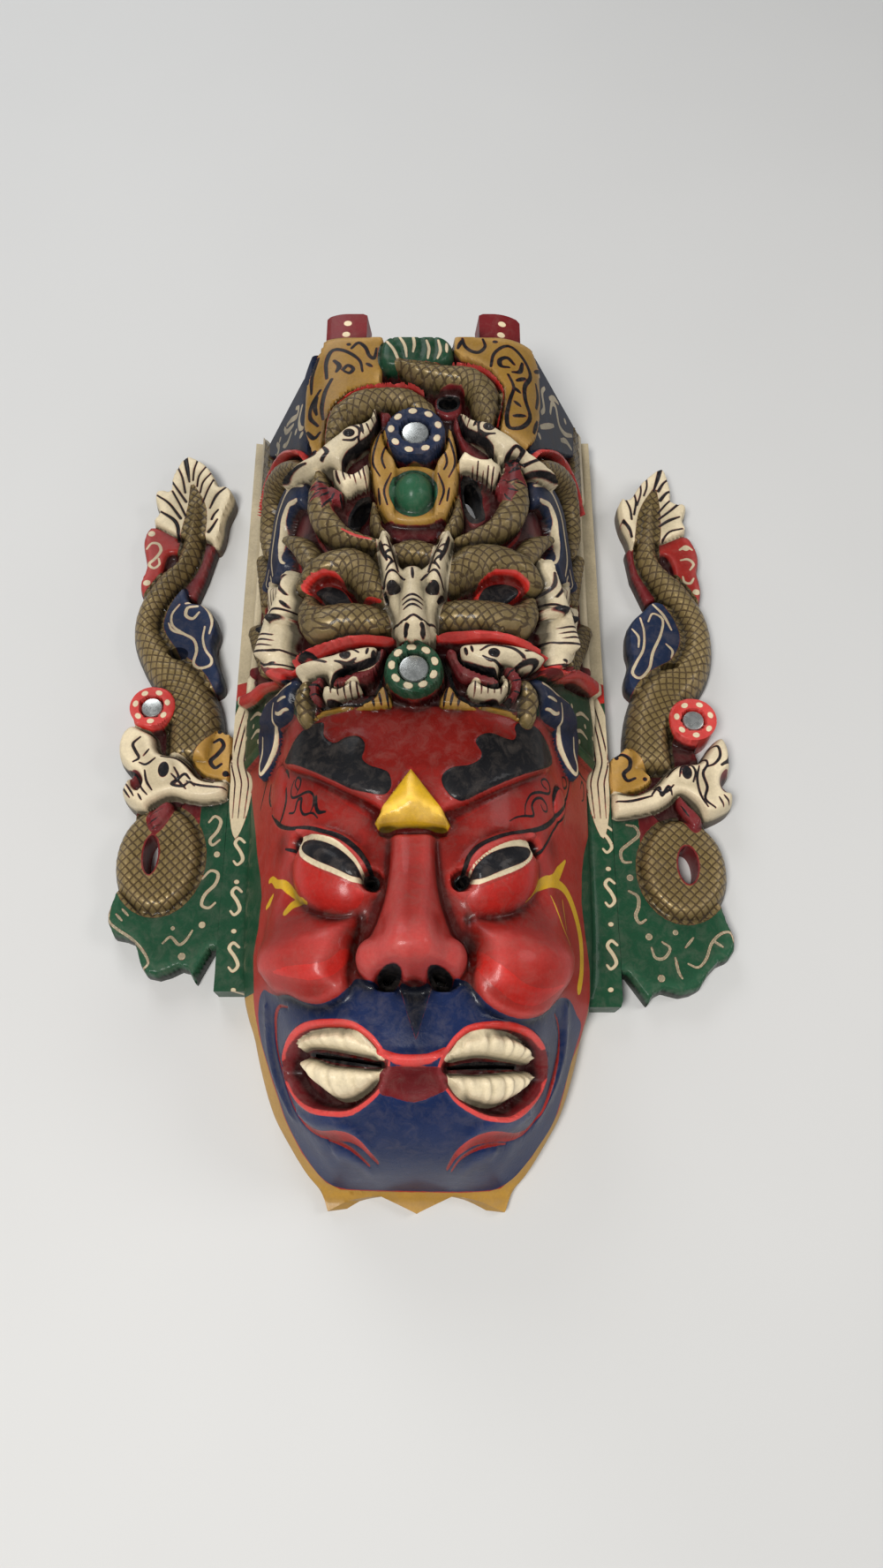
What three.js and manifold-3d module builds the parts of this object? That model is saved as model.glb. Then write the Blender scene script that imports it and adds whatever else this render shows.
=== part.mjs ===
// A carved and painted stage mask: a fierce face under a tall arched crown of twined dragons,
// with a flat dragon wing at each side and four small round mirrors set into their rosettes.
// Millimetres, +Z up. The mask lies face up on its back rim; the chin points to -Y, the crown to +Y.
import * as THREE from "three";
import { mergeVertices } from "three/addons/utils/BufferGeometryUtils.js";
import Module from "manifold-3d";

const wasm = await Module();
wasm.setup();

// Overall form of the mask body
const CHIN_Y = 0; // tip of the chin plate
const CROWN_END = 392; // the crown is cut square here and is open
const ARC = 128; // chart distance from the middle line to the foot of either slope
const FOOT = 13; // height of the foot of the slopes above the lying plane
const JAW_FOOT = 6; // the same under the jaw
const EDGE_X = 91; // outer edge of the flanges and of the crown's side posts
const WALL = 10; // thickness of the carved shell over the middle
const WALL_SIDE = 8; // thickness of the shell at the foot of the slopes
const GAP = 0.3; // clearance between pieces that touch
const MIDDLE_X = 1.2, MIDDLE_Y = 205.5; // middle of the whole, so that the origin lies under it
// Stations along the mask: height of the middle line, and half-width at the foot of the slopes
const HEIGHT_AT = [[0, 5], [8, 6], [11, 15], [16, 33], [24, 49], [40, 66], [60, 76], [85, 80], [140, 82], [193, 86], [420, 86]];
const WIDTH_AT = [[0, 37], [8, 40], [15, 46], [25, 53], [40, 62], [60, 69], [75, 73], [90, 77], [120, 79], [190, 80], [205, 84], [420, 84]];
// Wings
const WING_EDGE = 91.3; // straight inner edge of both wings
const WING_TOP = 15; // height of the wings' carved front
const WING_STEP = 5; // spacing of the sheet of heights that shapes a wing
// Mirrors
const MIRROR_R = 6.2, WING_MIRROR_R = 5.2, MIRROR_T = 2, MIRROR_SINK = 1.2;

// Small helpers
const clamp = (x, a, b) => Math.min(b, Math.max(a, x));
const smooth = (a, b, x) => {
  const k = clamp((x - a) / (b - a), 0, 1);
  return k * k * (3 - 2 * k);
};
const mix = (a, b, k) => a + (b - a) * k;
const hyp = Math.hypot;
// A monotone curve through stations, so that a width or height never overshoots between them.
function curve(stations) {
  const n = stations.length;
  const slope = (i) => (stations[i + 1][1] - stations[i][1]) / (stations[i + 1][0] - stations[i][0]);
  const tangent = (i) => {
    if (i === 0) return slope(0);
    if (i === n - 1) return slope(n - 2);
    const a = slope(i - 1), b = slope(i);
    return a * b <= 0 ? 0 : (2 * a * b) / (a + b);
  };
  return (x) => {
    const q = clamp(x, stations[0][0], stations[n - 1][0]);
    let i = 0;
    while (i < n - 2 && q > stations[i + 1][0]) i += 1;
    const h = stations[i + 1][0] - stations[i][0], k = (q - stations[i][0]) / h;
    return (
      stations[i][1] * (1 + 2 * k) * (1 - k) ** 2 + tangent(i) * h * k * (1 - k) ** 2 +
      stations[i + 1][1] * k * k * (3 - 2 * k) + tangent(i + 1) * h * k * k * (k - 1)
    );
  };
}
const heightAt = curve(HEIGHT_AT), widthAt = curve(WIDTH_AT);

// Cross-section from the middle to the foot: a flat top, a round shoulder and a straight slope.
function section(u, flat, radius, rise) {
  const lean = (64 * Math.PI) / 180;
  const slope = (rise - radius * (1 - Math.cos(lean))) / Math.sin(lean);
  const s = u * (flat + radius * lean + slope);
  const turn = clamp((s - flat) / radius, 0, lean), rest = Math.max(0, s - flat - radius * lean);
  const wide = flat + radius * Math.sin(lean) + slope * Math.cos(lean);
  return [
    (Math.min(s, flat) + radius * Math.sin(turn) + rest * Math.cos(lean)) / wide,
    1 - (radius * (1 - Math.cos(turn)) + rest * Math.sin(lean)) / rise,
  ];
}
// A point of the uncarved form: round over the face, trapezium-shaped over the crown.
function form(t, y, inset = 0, drop = 0, foot = null) {
  const u = clamp(Math.abs(t) / ARC, 0, 1), k = smooth(188, 204, y);
  const [xf, zf] = section(u, 14, 44, 70), [xc, zc] = section(u, 34, 20, 72);
  const top = heightAt(y) - drop;
  const low = foot ?? Math.min(mix(JAW_FOOT, FOOT, smooth(70, 80, y)), top - 0.1);
  return [Math.sign(t) * mix(xf, xc, k) * (widthAt(y) - inset), low + (top - low) * mix(zf, zc, k)];
}
function formNormal(t, y) {
  const [xa, za] = form(t - 1.5, y), [xb, zb] = form(t + 1.5, y);
  const len = hyp(xb - xa, zb - za) || 1;
  return [-(zb - za) / len, (xb - xa) / len];
}

// Carving strokes, each a height over the ground as a function of the chart position
const dome = (c, rx, ry, h, turn = 0) => (t, y) => {
  const ca = Math.cos(turn), sa = Math.sin(turn), dt = t - c[0], dy = y - c[1];
  const q = hyp((dt * ca + dy * sa) / rx, (dy * ca - dt * sa) / ry);
  return q < 1 ? h * Math.sqrt(1 - q * q) : 0;
};
const disc = (c, r, h, edge = 3) => (t, y) => h * (1 - smooth(r - edge / 2, r + edge / 2, hyp(t - c[0], y - c[1])));
function alongPath(path, t, y) {
  let best = 1e9, at = 0;
  for (let i = 0; i + 1 < path.length; i += 1) {
    const [ax, ay] = path[i], [bx, by] = path[i + 1];
    const k = clamp(((t - ax) * (bx - ax) + (y - ay) * (by - ay)) / ((bx - ax) ** 2 + (by - ay) ** 2), 0, 1);
    const d = hyp(t - mix(ax, bx, k), y - mix(ay, by, k));
    if (d < best) [best, at] = [d, (i + k) / (path.length - 1)];
  }
  return [best, at];
}
const roll = (path, w0, w1, h0, h1 = h0) => (t, y) => {
  const [d, at] = alongPath(path, t, y), w = mix(w0, w1, at);
  return d < w ? mix(h0, h1, at) * Math.sqrt(1 - (d / w) ** 2) : 0;
};
function inside(poly, t, y) {
  let best = 1e9, within = false;
  for (let i = 0, j = poly.length - 1; i < poly.length; j = i, i += 1) {
    const [ax, ay] = poly[j], [bx, by] = poly[i];
    const k = clamp(((t - ax) * (bx - ax) + (y - ay) * (by - ay)) / ((bx - ax) ** 2 + (by - ay) ** 2), 0, 1);
    best = Math.min(best, hyp(t - mix(ax, bx, k), y - mix(ay, by, k)));
    if (ay > y !== by > y && t < ((bx - ax) * (y - ay)) / (by - ay) + ax) within = !within;
  }
  return within ? best : -best;
}
const plate = (poly, h, edge = 3) => (t, y) => h * smooth(-edge / 2, edge / 2, inside(poly, t, y));
const mirrored = (path, s) => path.map(([t, y]) => [s * t, y]);

// Carving of the crown: coils and heads of the dragons stand on a sunk ground.
const crownRaised = [
  plate([[-47, 325], [-41, 322], [-38, 351], [-26, 361], [-17, 363], [-17, 400], [-60, 400], [-52, 345]], 6),
  plate([[17, 380], [34, 371], [38, 350], [37, 336], [48, 329], [56, 352], [60, 400], [17, 400]], 6),
  plate([[-18, 372], [-4, 368], [15, 375], [16, 384], [2, 393], [-14, 391]], 9),
  roll([[-39, 326], [-37, 337], [-32, 346]], 3, 7, 10, 14),
  roll([[-32, 346], [-24, 350], [-14, 353], [3, 350]], 8, 7, 14, 11),
  roll([[0, 362], [12, 365], [23, 364], [30, 357], [32, 341]], 7, 6, 12),
  plate([[-22, 320], [-19, 297], [-15, 286], [-8, 281], [4, 281], [12, 284], [17, 293], [18, 318]], 11.5),
  dome([-2, 297.6], 11, 12.6, 18),
  disc([-1.5, 329], 14.5, 14),
  disc([-1, 208.5], 12.5, 14),
  ...[-1, 1].flatMap((s) => [
    plate(mirrored([[50, 326], [66, 342], [96, 360], [121, 370], [121, 400], [50, 400]], s), 4.5),
    roll(mirrored([[14, 243], [23, 258], [33, 262]], s), 6, 10, 14, 16),
    roll(mirrored([[33, 262], [42, 260], [48, 255]], s), 10, 5, 16, 11),
    roll(mirrored([[8, 233], [21, 234], [38.6, 233.4]], s), 8, 10, 13, 16),
    roll(mirrored([[38.6, 233.4], [44.6, 240], [46.4, 247]], s), 10, 3, 15, 8),
    roll(mirrored([[41.2, 311], [41.8, 300], [38.3, 284]], s), 3, 6.4, 12, 13),
    roll(mirrored([[38.3, 284], [33, 278], [18, 271]], s), 6.4, 3.4, 13, 12),
    roll(mirrored([[50, 319], [60, 327], [74, 332], [88, 334]], s), 3, 8, 10, 12),
    roll(mirrored([[88, 334], [98, 322], [95, 300]], s), 8, 4, 12, 8),
    plate(mirrored([[47, 312], [63, 321], [83, 315], [91, 292], [94, 280], [70, 272], [66, 303], [52, 300]], s), 7),
    roll(mirrored([[4, 223], [23, 224.5], [41, 220], [49, 215]], s), 2.4, 2.4, 14, 12),
    plate(mirrored([[48, 217], [76, 226], [104, 233], [128, 240], [128, 232], [104, 225], [76, 217], [50, 211]], s), 8),
    roll(mirrored([[106, 302], [92, 270], [82, 242]], s), 5, 6, 8),
    plate(mirrored([[54, 268], [51, 250], [53, 228], [52, 213], [58, 212], [69, 225], [68, 236], [73, 247], [58, 254]], s), 14, 5),
    plate(mirrored([[83, 276], [60, 264], [54, 257], [64, 246], [79, 257]], s), 9),
    plate(mirrored([[19, 344], [19, 334], [23, 326], [33, 313], [34, 308], [43, 309], [64, 316], [49, 316], [41, 323], [35, 331], [26, 335]], s), 16, 4),
    plate(mirrored([[38, 312], [33, 309], [27, 311], [22, 316], [19, 310], [22, 304], [31, 301], [37, 303]], s), 13),
    plate(mirrored([[17, 220], [28, 220.6], [42, 218], [48, 213], [41, 208], [28, 207], [20, 209]], s), 16, 4),
    plate(mirrored([[21.5, 202], [33, 203], [38, 203], [36, 196], [24, 197]], s), 13),
    roll(mirrored([[48, 194], [43.4, 205]], s), 4.4, 3, 9),
    plate(mirrored([[50, 212], [50, 204], [58, 196], [74, 197], [90, 208], [68, 212]], s), 6),
  ]),
  plate([[-128, 195], [128, 195], [128, 201], [-128, 201]], 4, 3),
];
const headRaised = [
  plate([[-17.6, 273], [-13, 277], [-4.4, 256], [-0.7, 256], [11, 276], [15.8, 273], [14.7, 257], [9, 225], [5, 220], [-4, 220], [-10, 224], [-15.6, 253]], 17, 5),
  roll([[-14, 272], [-12, 258], [-9, 244]], 3, 6, 17, 21),
  roll([[13, 272], [10, 258], [7, 244]], 3, 6, 17, 21),
  roll([[-2, 252], [-2, 240], [-1, 226]], 8, 9, 18, 25),
];
const crownSunk = [
  dome([-27, 293], 10, 14, 12, -0.35), dome([26, 300], 9, 17, 12, 0.2), dome([14, 353], 8, 8, 10),
  dome([-36, 248.5], 10, 7, 12), dome([35, 250], 10, 7, 12), dome([-2, 280], 15, 4, 6),
];
// Carving of the face, with the brows, lids, cheeks, nose and mouth named in turn
const noseWide = curve([[79, 14], [83, 19], [86, 21.6], [91, 21.4], [97, 19], [104, 15.8], [114, 12.5], [124, 10.8], [144, 10], [150, 9.5]]);
const noseHigh = curve([[79, 0], [81, 12], [83, 23], [86, 31], [91, 33.7], [97, 30.5], [104, 25.5], [114, 18.5], [124, 13], [136, 8.5], [150, 3]]);
const nose = (t, y) => (y < 79 || y > 150 ? 0 : noseHigh(y) * (1 - Math.min(1, Math.abs(t + 1) / noseWide(y)) ** 3) ** 0.7);
const faceRaised = [
  ...[-1, 1].flatMap((s) => [
    plate(mirrored([[23, 104], [25, 88], [29, 78], [40, 72.4], [55, 74], [72, 80], [90, 84.5], [108, 94], [112, 112], [98, 132], [64, 133], [47, 121], [34, 110]], s), 6.5, 5),
    dome([s * 54, 99], 34, 28, 12),
    dome([s * 37, 126], 23, 17, 14, s * 0.52),
    dome([s * 15 - 1, 90], 8.6, 8.8, 21),
    roll(mirrored([[92, 80], [99, 66], [98, 52], [90, 38]], s), 4, 4, 2.5),
    roll(mirrored([[74, 37.5], [60, 33.4], [35, 28.6], [28, 23]], s), 4, 4, 3),
    plate(mirrored([[64, 179], [60, 186], [46, 190.6], [40, 185], [29, 181.6], [22, 175], [11, 164], [11, 157], [26, 157], [44, 168]], s), 7, 2),
  ]),
  nose,
  dome([0, 44], 100, 44, 6.5),
  plate([[-72, 184], [-54, 172], [-30, 159.5], [-16, 150], [-15, 143], [13, 143], [14, 150], [30, 158], [58, 173], [77, 186], [80, 196], [-78, 196]], 6, 3),
  plate([[-2, 166.5], [-18, 145.6], [-16, 142], [14, 142], [15.7, 144.6]], 11, 5),
];
const faceSunk = [
  ...[-1, 1].flatMap((s) => [
    plate(mirrored([[58, 170], [40, 162], [24, 153], [15, 147], [13, 138], [14, 122], [20, 112], [30, 106], [44, 111], [57, 121], [69, 137], [71, 152]], s), 5, 7),
    plate(mirrored([[13, 51], [17, 57], [27, 66], [48, 67], [74, 60], [81, 53], [78, 46], [59, 37], [44, 34.4], [31, 35], [18, 41]], s), 11, 5),
    dome([s * 55.6, 140.4], 4, 3, 5),
  ]),
];
const teethRaised = [-1, 1].flatMap((s) => [
  dome([s * 41, 60], 27, 7, 8), dome([s * 42, 46.4], 28, 8, 8),
]);
const blend = (list, t, y) => {
  let h = 0;
  for (const f of list) h = Math.max(h, f(t, y));
  return h;
};
function relief(t, y) {
  const face = 1 - smooth(192, 197, y), crown = 1 - face;
  let h = 0;
  if (face > 0) h += face * (blend(faceRaised, t, y) - blend(faceSunk, t, y) + blend(teethRaised, t, y));
  if (crown > 0) {
    const ground = Math.max(0, blend(crownRaised, t, y) - blend(crownSunk, t, y));
    h += crown * Math.max(ground - 2 * smooth(0, 20, blend(crownSunk, t, y)), blend(headRaised, t, y));
  }
  return h * smooth(1, 0.95, Math.abs(t) / ARC) * smooth(4, 12, y);
}
// The chin plate's edge: a point in the middle between two notches
const chinAt = (t) => 7 * smooth(4, 34, Math.abs(t)) - 6 * smooth(60, ARC, Math.abs(t));
// The crown's open end: the left slope stops a little short of the rest.
const endAt = (t) => CROWN_END - 14 * smooth(-50, -56, t) * smooth(-122, -112, t) - 2 * smooth(-4, 4, 4 - Math.abs(t)) - 6 * (1 - smooth(12, 18, Math.abs(t)));

// Solids from geometry
function solid(geometry) {
  const bare = geometry.clone();
  bare.deleteAttribute("normal");
  bare.deleteAttribute("uv");
  const merged = mergeVertices(bare, 1e-4);
  return new wasm.Manifold(new wasm.Mesh({
    numProp: 3,
    vertProperties: new Float32Array(merged.attributes.position.array),
    triVerts: new Uint32Array(merged.index.array),
  }));
}
// A block between two sheets of the same grid, closed round its four sides.
function between(columns, rows, front, back) {
  const at = [], triangles = [], w = columns + 1, layer = w * (rows + 1);
  for (const sheet of [front, back])
    for (let j = 0; j <= rows; j += 1) for (let i = 0; i <= columns; i += 1) at.push(...sheet(i / columns, j / rows));
  const quad = (a, b, c, d) => triangles.push(a, b, c, a, c, d);
  for (let j = 0; j < rows; j += 1)
    for (let i = 0; i < columns; i += 1) {
      const a = j * w + i;
      quad(a, a + 1, a + w + 1, a + w);
      quad(layer + a, layer + a + w, layer + a + w + 1, layer + a + 1);
    }
  for (let i = 0; i < columns; i += 1) {
    const b = rows * w + i;
    quad(i + 1, i, layer + i, layer + i + 1);
    quad(b, b + 1, layer + b + 1, layer + b);
  }
  for (let j = 0; j < rows; j += 1) {
    const a = j * w, b = a + columns;
    quad(a, a + w, layer + a + w, layer + a);
    quad(b + w, b, layer + b, layer + b + w);
  }
  const g = new THREE.BufferGeometry();
  g.setAttribute("position", new THREE.Float32BufferAttribute(at, 3));
  g.setIndex(triangles);
  return solid(g);
}
const box = (x0, x1, y0, y1, z0, z1) =>
  solid(new THREE.BoxGeometry(x1 - x0, y1 - y0, z1 - z0).translate((x0 + x1) / 2, (y0 + y1) / 2, (z0 + z1) / 2));
const tube = (x, y, rx, ry, z0, z1, sides = 20) =>
  solid(new THREE.CylinderGeometry(1, 1, z1 - z0, sides).rotateX(Math.PI / 2).scale(rx, ry, 1).translate(x, y, (z0 + z1) / 2));
// Outlines run counter-clockwise or clockwise; the prism turns them as needed.
const outline = (points) => new THREE.Shape(points.map(([x, y]) => new THREE.Vector2(x, y)));
// A straight-sided prism over an outline, standing on z = 0
const prism = (points, top) => solid(new THREE.ExtrudeGeometry(outline(points), { depth: top, bevelEnabled: false }));
// A flat board with a rounded front edge, cut from one sheet of heights and the outlines of its elements.
// Each element is an outline, its height, and how far in from the edge the rounding reaches.
function board(elements, step) {
  const xs = elements.flatMap(([p]) => p.map((q) => q[0])), ys = elements.flatMap(([p]) => p.map((q) => q[1]));
  const x0 = Math.min(...xs) - 1, x1 = Math.max(...xs) + 1, y0 = Math.min(...ys) - 1, y1 = Math.max(...ys) + 1;
  const height = (x, y) => {
    let top = 0, near = -1e9, nearTop = 0;
    for (const [points, high, soft] of elements) {
      const d = inside(points, x, y), k = 1 - clamp(d / soft, 0, 1);
      if (d > 0) top = Math.max(top, high - soft * 0.7 * (1 - Math.sqrt(1 - k * k)));
      if (d > near) [near, nearTop] = [d, high - soft * 0.7];
    }
    return top || nearTop;
  };
  const at = (z) => (u, v) => {
    const x = mix(x0, x1, u), y = mix(y0, y1, v);
    return [x, y, z ?? height(x, y)];
  };
  const sheet = between(Math.ceil((x1 - x0) / step), Math.ceil((y1 - y0) / step), at(null), at(0));
  const shapes = elements.map(([points]) => prism(points, 60).translate([0, 0, -5]));
  return shapes.reduce((all, one) => all.add(one)).intersect(sheet);
}
const ring = (x, y, rx, ry, n = 22) =>
  Array.from({ length: n }, (_, i) => [x + rx * Math.cos((2 * Math.PI * i) / n), y + ry * Math.sin((2 * Math.PI * i) / n)]);
// A band of changing width along a smooth line: stations are x, y, half-width.
function band(stations, n = 20) {
  const line = new THREE.CatmullRomCurve3(stations.map(([x, y, w]) => new THREE.Vector3(x, y, w)));
  const left = [], right = [];
  for (let i = 0; i <= n; i += 1) {
    const p = line.getPoint(i / n), d = line.getTangent(i / n), len = hyp(d.x, d.y);
    left.push([p.x - (d.y / len) * p.z, p.y + (d.x / len) * p.z]);
    right.unshift([p.x + (d.y / len) * p.z, p.y - (d.x / len) * p.z]);
  }
  return [...right, ...left];
}
const soften = (points, n = 2) => {
  const line = new THREE.CatmullRomCurve3(points.map(([x, y]) => new THREE.Vector3(x, y, 0)), true, "centripetal");
  return line.getPoints(points.length * n).slice(0, -1).map((p) => [p.x, p.y]);
};

// The mask body
const chartRow = (v) => {
  // Rows crowd where the chin turns up.
  const steep = 30, share = 0.16;
  return v < share ? CHIN_Y + (steep * v) / share : steep + ((CROWN_END - steep) * (v - share)) / (1 - share);
};
const COLUMNS = 52, ROWS = 80;
// Columns crowd over the middle, where the carving is finest.
const chartColumn = (u) => {
  const k = 2 * u - 1;
  return ARC * (0.62 * k + 0.38 * k ** 3);
};
function front(u, v) {
  const t = chartColumn(u);
  let y = chartRow(v);
  if (y < 14) y = mix(chinAt(t), 14, y / 14);
  if (y > 340) y = mix(340, endAt(t), (y - 340) / (CROWN_END - 340));
  const [x, z] = form(t, y), [nx, nz] = formNormal(t, y), h = relief(t, y);
  return [x + nx * h, y, z + nz * h];
}
function floorSheet(u, v) {
  const p = front(u, v);
  return [(2 * u - 1) * (widthAt(p[1]) + 0.5), p[1], 0];
}
function cavity() {
  const low = 14, far = CROWN_END + 12;
  const y = (v) => low + (far - low) * v ** 1.35;
  const inner = (u, v) => {
    const t = (2 * u - 1) * ARC, yy = y(v), drop = Math.max(0, Math.min(WALL, heightAt(yy) - 4));
    const [x, z] = form(t, yy, WALL_SIDE, drop, -1);
    return [x, yy + 3 * (1 - v), z * smooth(-0.02, 0.09, v) - 1];
  };
  return between(22, 24, inner, (u, v) => [(2 * u - 1) * (widthAt(y(v)) - WALL_SIDE), y(v) + 3 * (1 - v), -5]);
}
// Cut right through the shell, square to it
function through(t, y, rx, ry, lean = 0) {
  const [x, z] = form(t, y), [nx, nz] = formNormal(t, y);
  const g = new THREE.CylinderGeometry(1, 1, 60, 18).scale(rx, 1, ry).rotateX(Math.PI / 2).rotateZ(lean).rotateY(Math.atan2(nx, nz));
  return solid(g.translate(x, y, z));
}
function maskBody() {
  let body = between(COLUMNS, ROWS, front, floorSheet);
  const corner = (s) => (s < 0 ? 92 : 85);
  for (const s of [-1, 1]) {
    const flange = box(Math.min(s * 70, s * EDGE_X), Math.max(s * 70, s * EDGE_X), corner(s), 200, 0, FOOT);
    const post = box(Math.min(s * 78, s * EDGE_X), Math.max(s * 78, s * EDGE_X), 196, 393, 0, FOOT - 1);
    body = body.add(flange).add(post);
  }
  // Two tabs stand out from the open end of the crown
  for (const [t0, t1] of [[-46, -26], [29, 50]]) {
    const [xa, za] = form(t0, CROWN_END), [xb, zb] = form(t1, CROWN_END);
    const g = new THREE.BoxGeometry(hyp(xb - xa, zb - za), 25, 8).rotateY(-Math.atan2(zb - za, xb - xa));
    body = body.add(solid(g.translate((xa + xb) / 2, CROWN_END + 6.5, (za + zb) / 2 - 4)));
  }
  body = body.subtract(cavity());
  // Nostrils, inner corners of the eyes, slits between the teeth, and the openings in the crown
  for (const [t, y, rx, ry, lean] of [
    [-10.4, 83, 3.6, 2, 0], [11.4, 83, 3.6, 2, 0], [-19, 122, 2.3, 2.1, 0], [20, 122, 2.5, 2.3, 0], [-38, 55, 22, 0.9, -0.13], [37.5, 52, 21, 0.9, 0.05],
    [-25.6, 291, 3.4, 8, -0.48], [24.6, 298, 3.6, 9.6, 0.21], [13.6, 353.6, 4.6, 3.6, 0],
  ]) body = body.subtract(through(t, y, rx, ry, lean));
  return body;
}

// The flat wings, each a ring of scales, a dragon's head, a winding body, two fins and a fan of a tail
const WINGS = {
  left: {
    s: -1, edge: [112, 217], ringAt: [121.5, 154, 22, 28], slot: [124, 155, 3.5, 9.5], medallion: [131, 230, 10.5],
    foot: [[101, 97], [108, 103], [118, 99], [126, 104], [130, 115], [140, 118], [143, 128], [141, 138]],
    body: [[112, 200, 12], [111, 222, 14], [118, 243, 13], [131, 259, 10], [139, 275, 8.5], [138, 290, 8.5], [131, 305, 8], [123, 318, 7], [120.5, 335, 6.5], [120, 350, 5], [123, 364, 1]],
    head: [[91.3, 183], [106, 180], [118, 182], [128, 177], [140, 180], [143, 189], [137, 197], [146, 204], [147, 215], [140, 222], [128, 218], [116, 207], [106, 198], [91.3, 196]],
    patch: [[91.3, 190], [112, 190], [108, 216], [91.3, 217]],
    fin: [[131, 258], [135, 286], [123, 303], [117, 292], [110, 290], [105, 283], [104, 272], [107, 265], [100, 255], [100.5, 245], [112, 240]],
    finHole: [122, 262, 5, 4],
    outerFin: [[140, 292], [147, 305], [145, 315], [148, 328], [147, 337], [142, 341], [126, 332], [120, 318], [130, 300]],
    innerFin: [[117, 297], [111, 314], [108, 331], [118, 338], [128, 318], [130, 298]],
    tail: [[124, 330], [142, 341], [141, 350], [144, 361], [136, 362], [134, 377], [129, 385], [121, 381], [110, 366], [104, 365], [101, 358], [106, 340], [108, 327], [114, 331]],
  },
  right: {
    s: 1, edge: [101, 208], ringAt: [123, 149, 22, 26.5], slot: [123.5, 150, 5, 9], medallion: [133, 223, 11],
    foot: [[103, 87], [110, 93], [117, 91], [127, 94], [137, 105], [143, 108], [144, 119], [140, 132]],
    body: [[112, 196, 12], [112, 218, 12], [120, 238, 14], [134, 252, 11], [140, 268, 9], [138, 284, 9], [129, 301, 9], [119, 318, 7], [120, 338, 6.5], [122, 350, 5], [125, 361, 1]],
    head: [[91.3, 174], [106, 174], [120, 178], [130, 170], [146, 175], [150, 186], [144, 193], [150, 200], [150, 209], [141, 216], [130, 208], [118, 199], [106, 190], [91.3, 187]],
    patch: [[91.3, 181], [112, 181], [104, 211], [91.3, 208]],
    fin: [[133, 258], [136, 284], [122, 296], [112, 290], [104, 279], [105, 263], [101, 253], [103, 240], [116, 238]],
    finHole: [122, 255, 4.5, 2.6],
    outerFin: [[142, 290], [147, 300], [146, 312], [147, 325], [144, 332], [139, 336], [122, 328], [120, 314], [132, 296]],
    innerFin: [[116, 294], [110, 311], [108, 327], [118, 334], [124, 316], [132, 298]],
    tail: [[120, 326], [139, 336], [139, 348], [142, 354], [134, 354], [134, 365], [130, 377], [118, 366], [112, 356], [106, 358], [104, 345], [106, 330], [110, 324], [114, 328]],
  },
};
function wing(w) {
  const flip = (points) => points.map(([x, y]) => [w.s * x, y]);
  const [rx, ry, ra, rb] = w.ringAt, [lo, hi] = w.edge;
  const [mx, my, mr] = w.medallion, [sx, sy, sa, sb] = w.slot, [fx, fy, fa, fb] = w.finHole;
  let one = board([
    [[[WING_EDGE, lo], [94, lo - 1], ...w.foot, [132, ry], [104, hi - 20], [WING_EDGE, hi - 20]], WING_TOP - 3, 1.5],
    [[[104, hi - 46], [136, hi - 44], [136, hi - 2], [130, hi + 22], [112, hi + 20], [104, hi]], WING_TOP - 5, 1],
    [ring(rx, ry, ra, rb), WING_TOP + 1, 6],
    [band(w.body), WING_TOP + 3, 8],
    [soften(w.patch, 1), WING_TOP - 1, 1.5],
    [soften(w.head), WING_TOP + 3, 4],
    [soften(w.fin), WING_TOP - 2, 2],
    [soften(w.outerFin), WING_TOP - 4, 2],
    [w.innerFin, WING_TOP - 6, 1],
    [soften(w.tail), WING_TOP - 1, 2],
  ].map(([points, top, soft]) => [flip(points), top, soft]), WING_STEP);
  one = one.add(solid(new THREE.CylinderGeometry(mr - 1, mr, WING_TOP + 4, 22).rotateX(Math.PI / 2).translate(w.s * mx, my, (WING_TOP + 4) / 2)));
  one = one.subtract(tube(w.s * sx, sy, sa, sb, -5, 40, 16)).subtract(tube(w.s * fx, fy, fa, fb, -5, 40, 12));
  return one.intersect(w.s < 0 ? box(-400, -WING_EDGE, -10, 800, 0, 200) : box(WING_EDGE, 400, -10, 800, 0, 200));
}

// The mirrors, round and flat
function crownMirror(t, y, lift) {
  const [, z] = form(t, y);
  return { x: t * 0.92, y, z: z + lift - MIRROR_SINK };
}
const mirrorsAt = {
  crown_upper_mirror: { ...crownMirror(-1.5, 329, 14), r: MIRROR_R },
  crown_lower_mirror: { ...crownMirror(-1, 208.5, 14), r: MIRROR_R },
  left_wing_mirror: { x: -131, y: 230, z: WING_TOP + 4 - MIRROR_SINK, r: WING_MIRROR_R },
  right_wing_mirror: { x: 133, y: 223, z: WING_TOP + 4 - MIRROR_SINK, r: WING_MIRROR_R },
};
const mirrorSolid = (m) => solid(new THREE.CylinderGeometry(m.r - 0.5, m.r, MIRROR_T, 20).rotateX(Math.PI / 2).translate(m.x, m.y, m.z - MIRROR_T / 2));

const paint = { wood: 0x8c3a2c, glass: 0xb8bcb6 };
const group = new THREE.Group();
function put(name, made, color) {
  const shown = made.translate([-MIDDLE_X, -MIDDLE_Y, 0]);
  const mesh = shown.getMesh(), geometry = new THREE.BufferGeometry();
  const flat = new Float32Array((mesh.vertProperties.length / mesh.numProp) * 3);
  for (let i = 0; i < flat.length / 3; i += 1) for (let k = 0; k < 3; k += 1) flat[3 * i + k] = mesh.vertProperties[i * mesh.numProp + k];
  geometry.setAttribute("position", new THREE.BufferAttribute(flat, 3));
  geometry.setIndex(new THREE.BufferAttribute(new Uint32Array(mesh.triVerts), 1));
  geometry.computeVertexNormals();
  const one = new THREE.Mesh(geometry, new THREE.MeshStandardMaterial({ color, roughness: 0.6 }));
  one.name = name;
  group.add(one);
}
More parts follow.
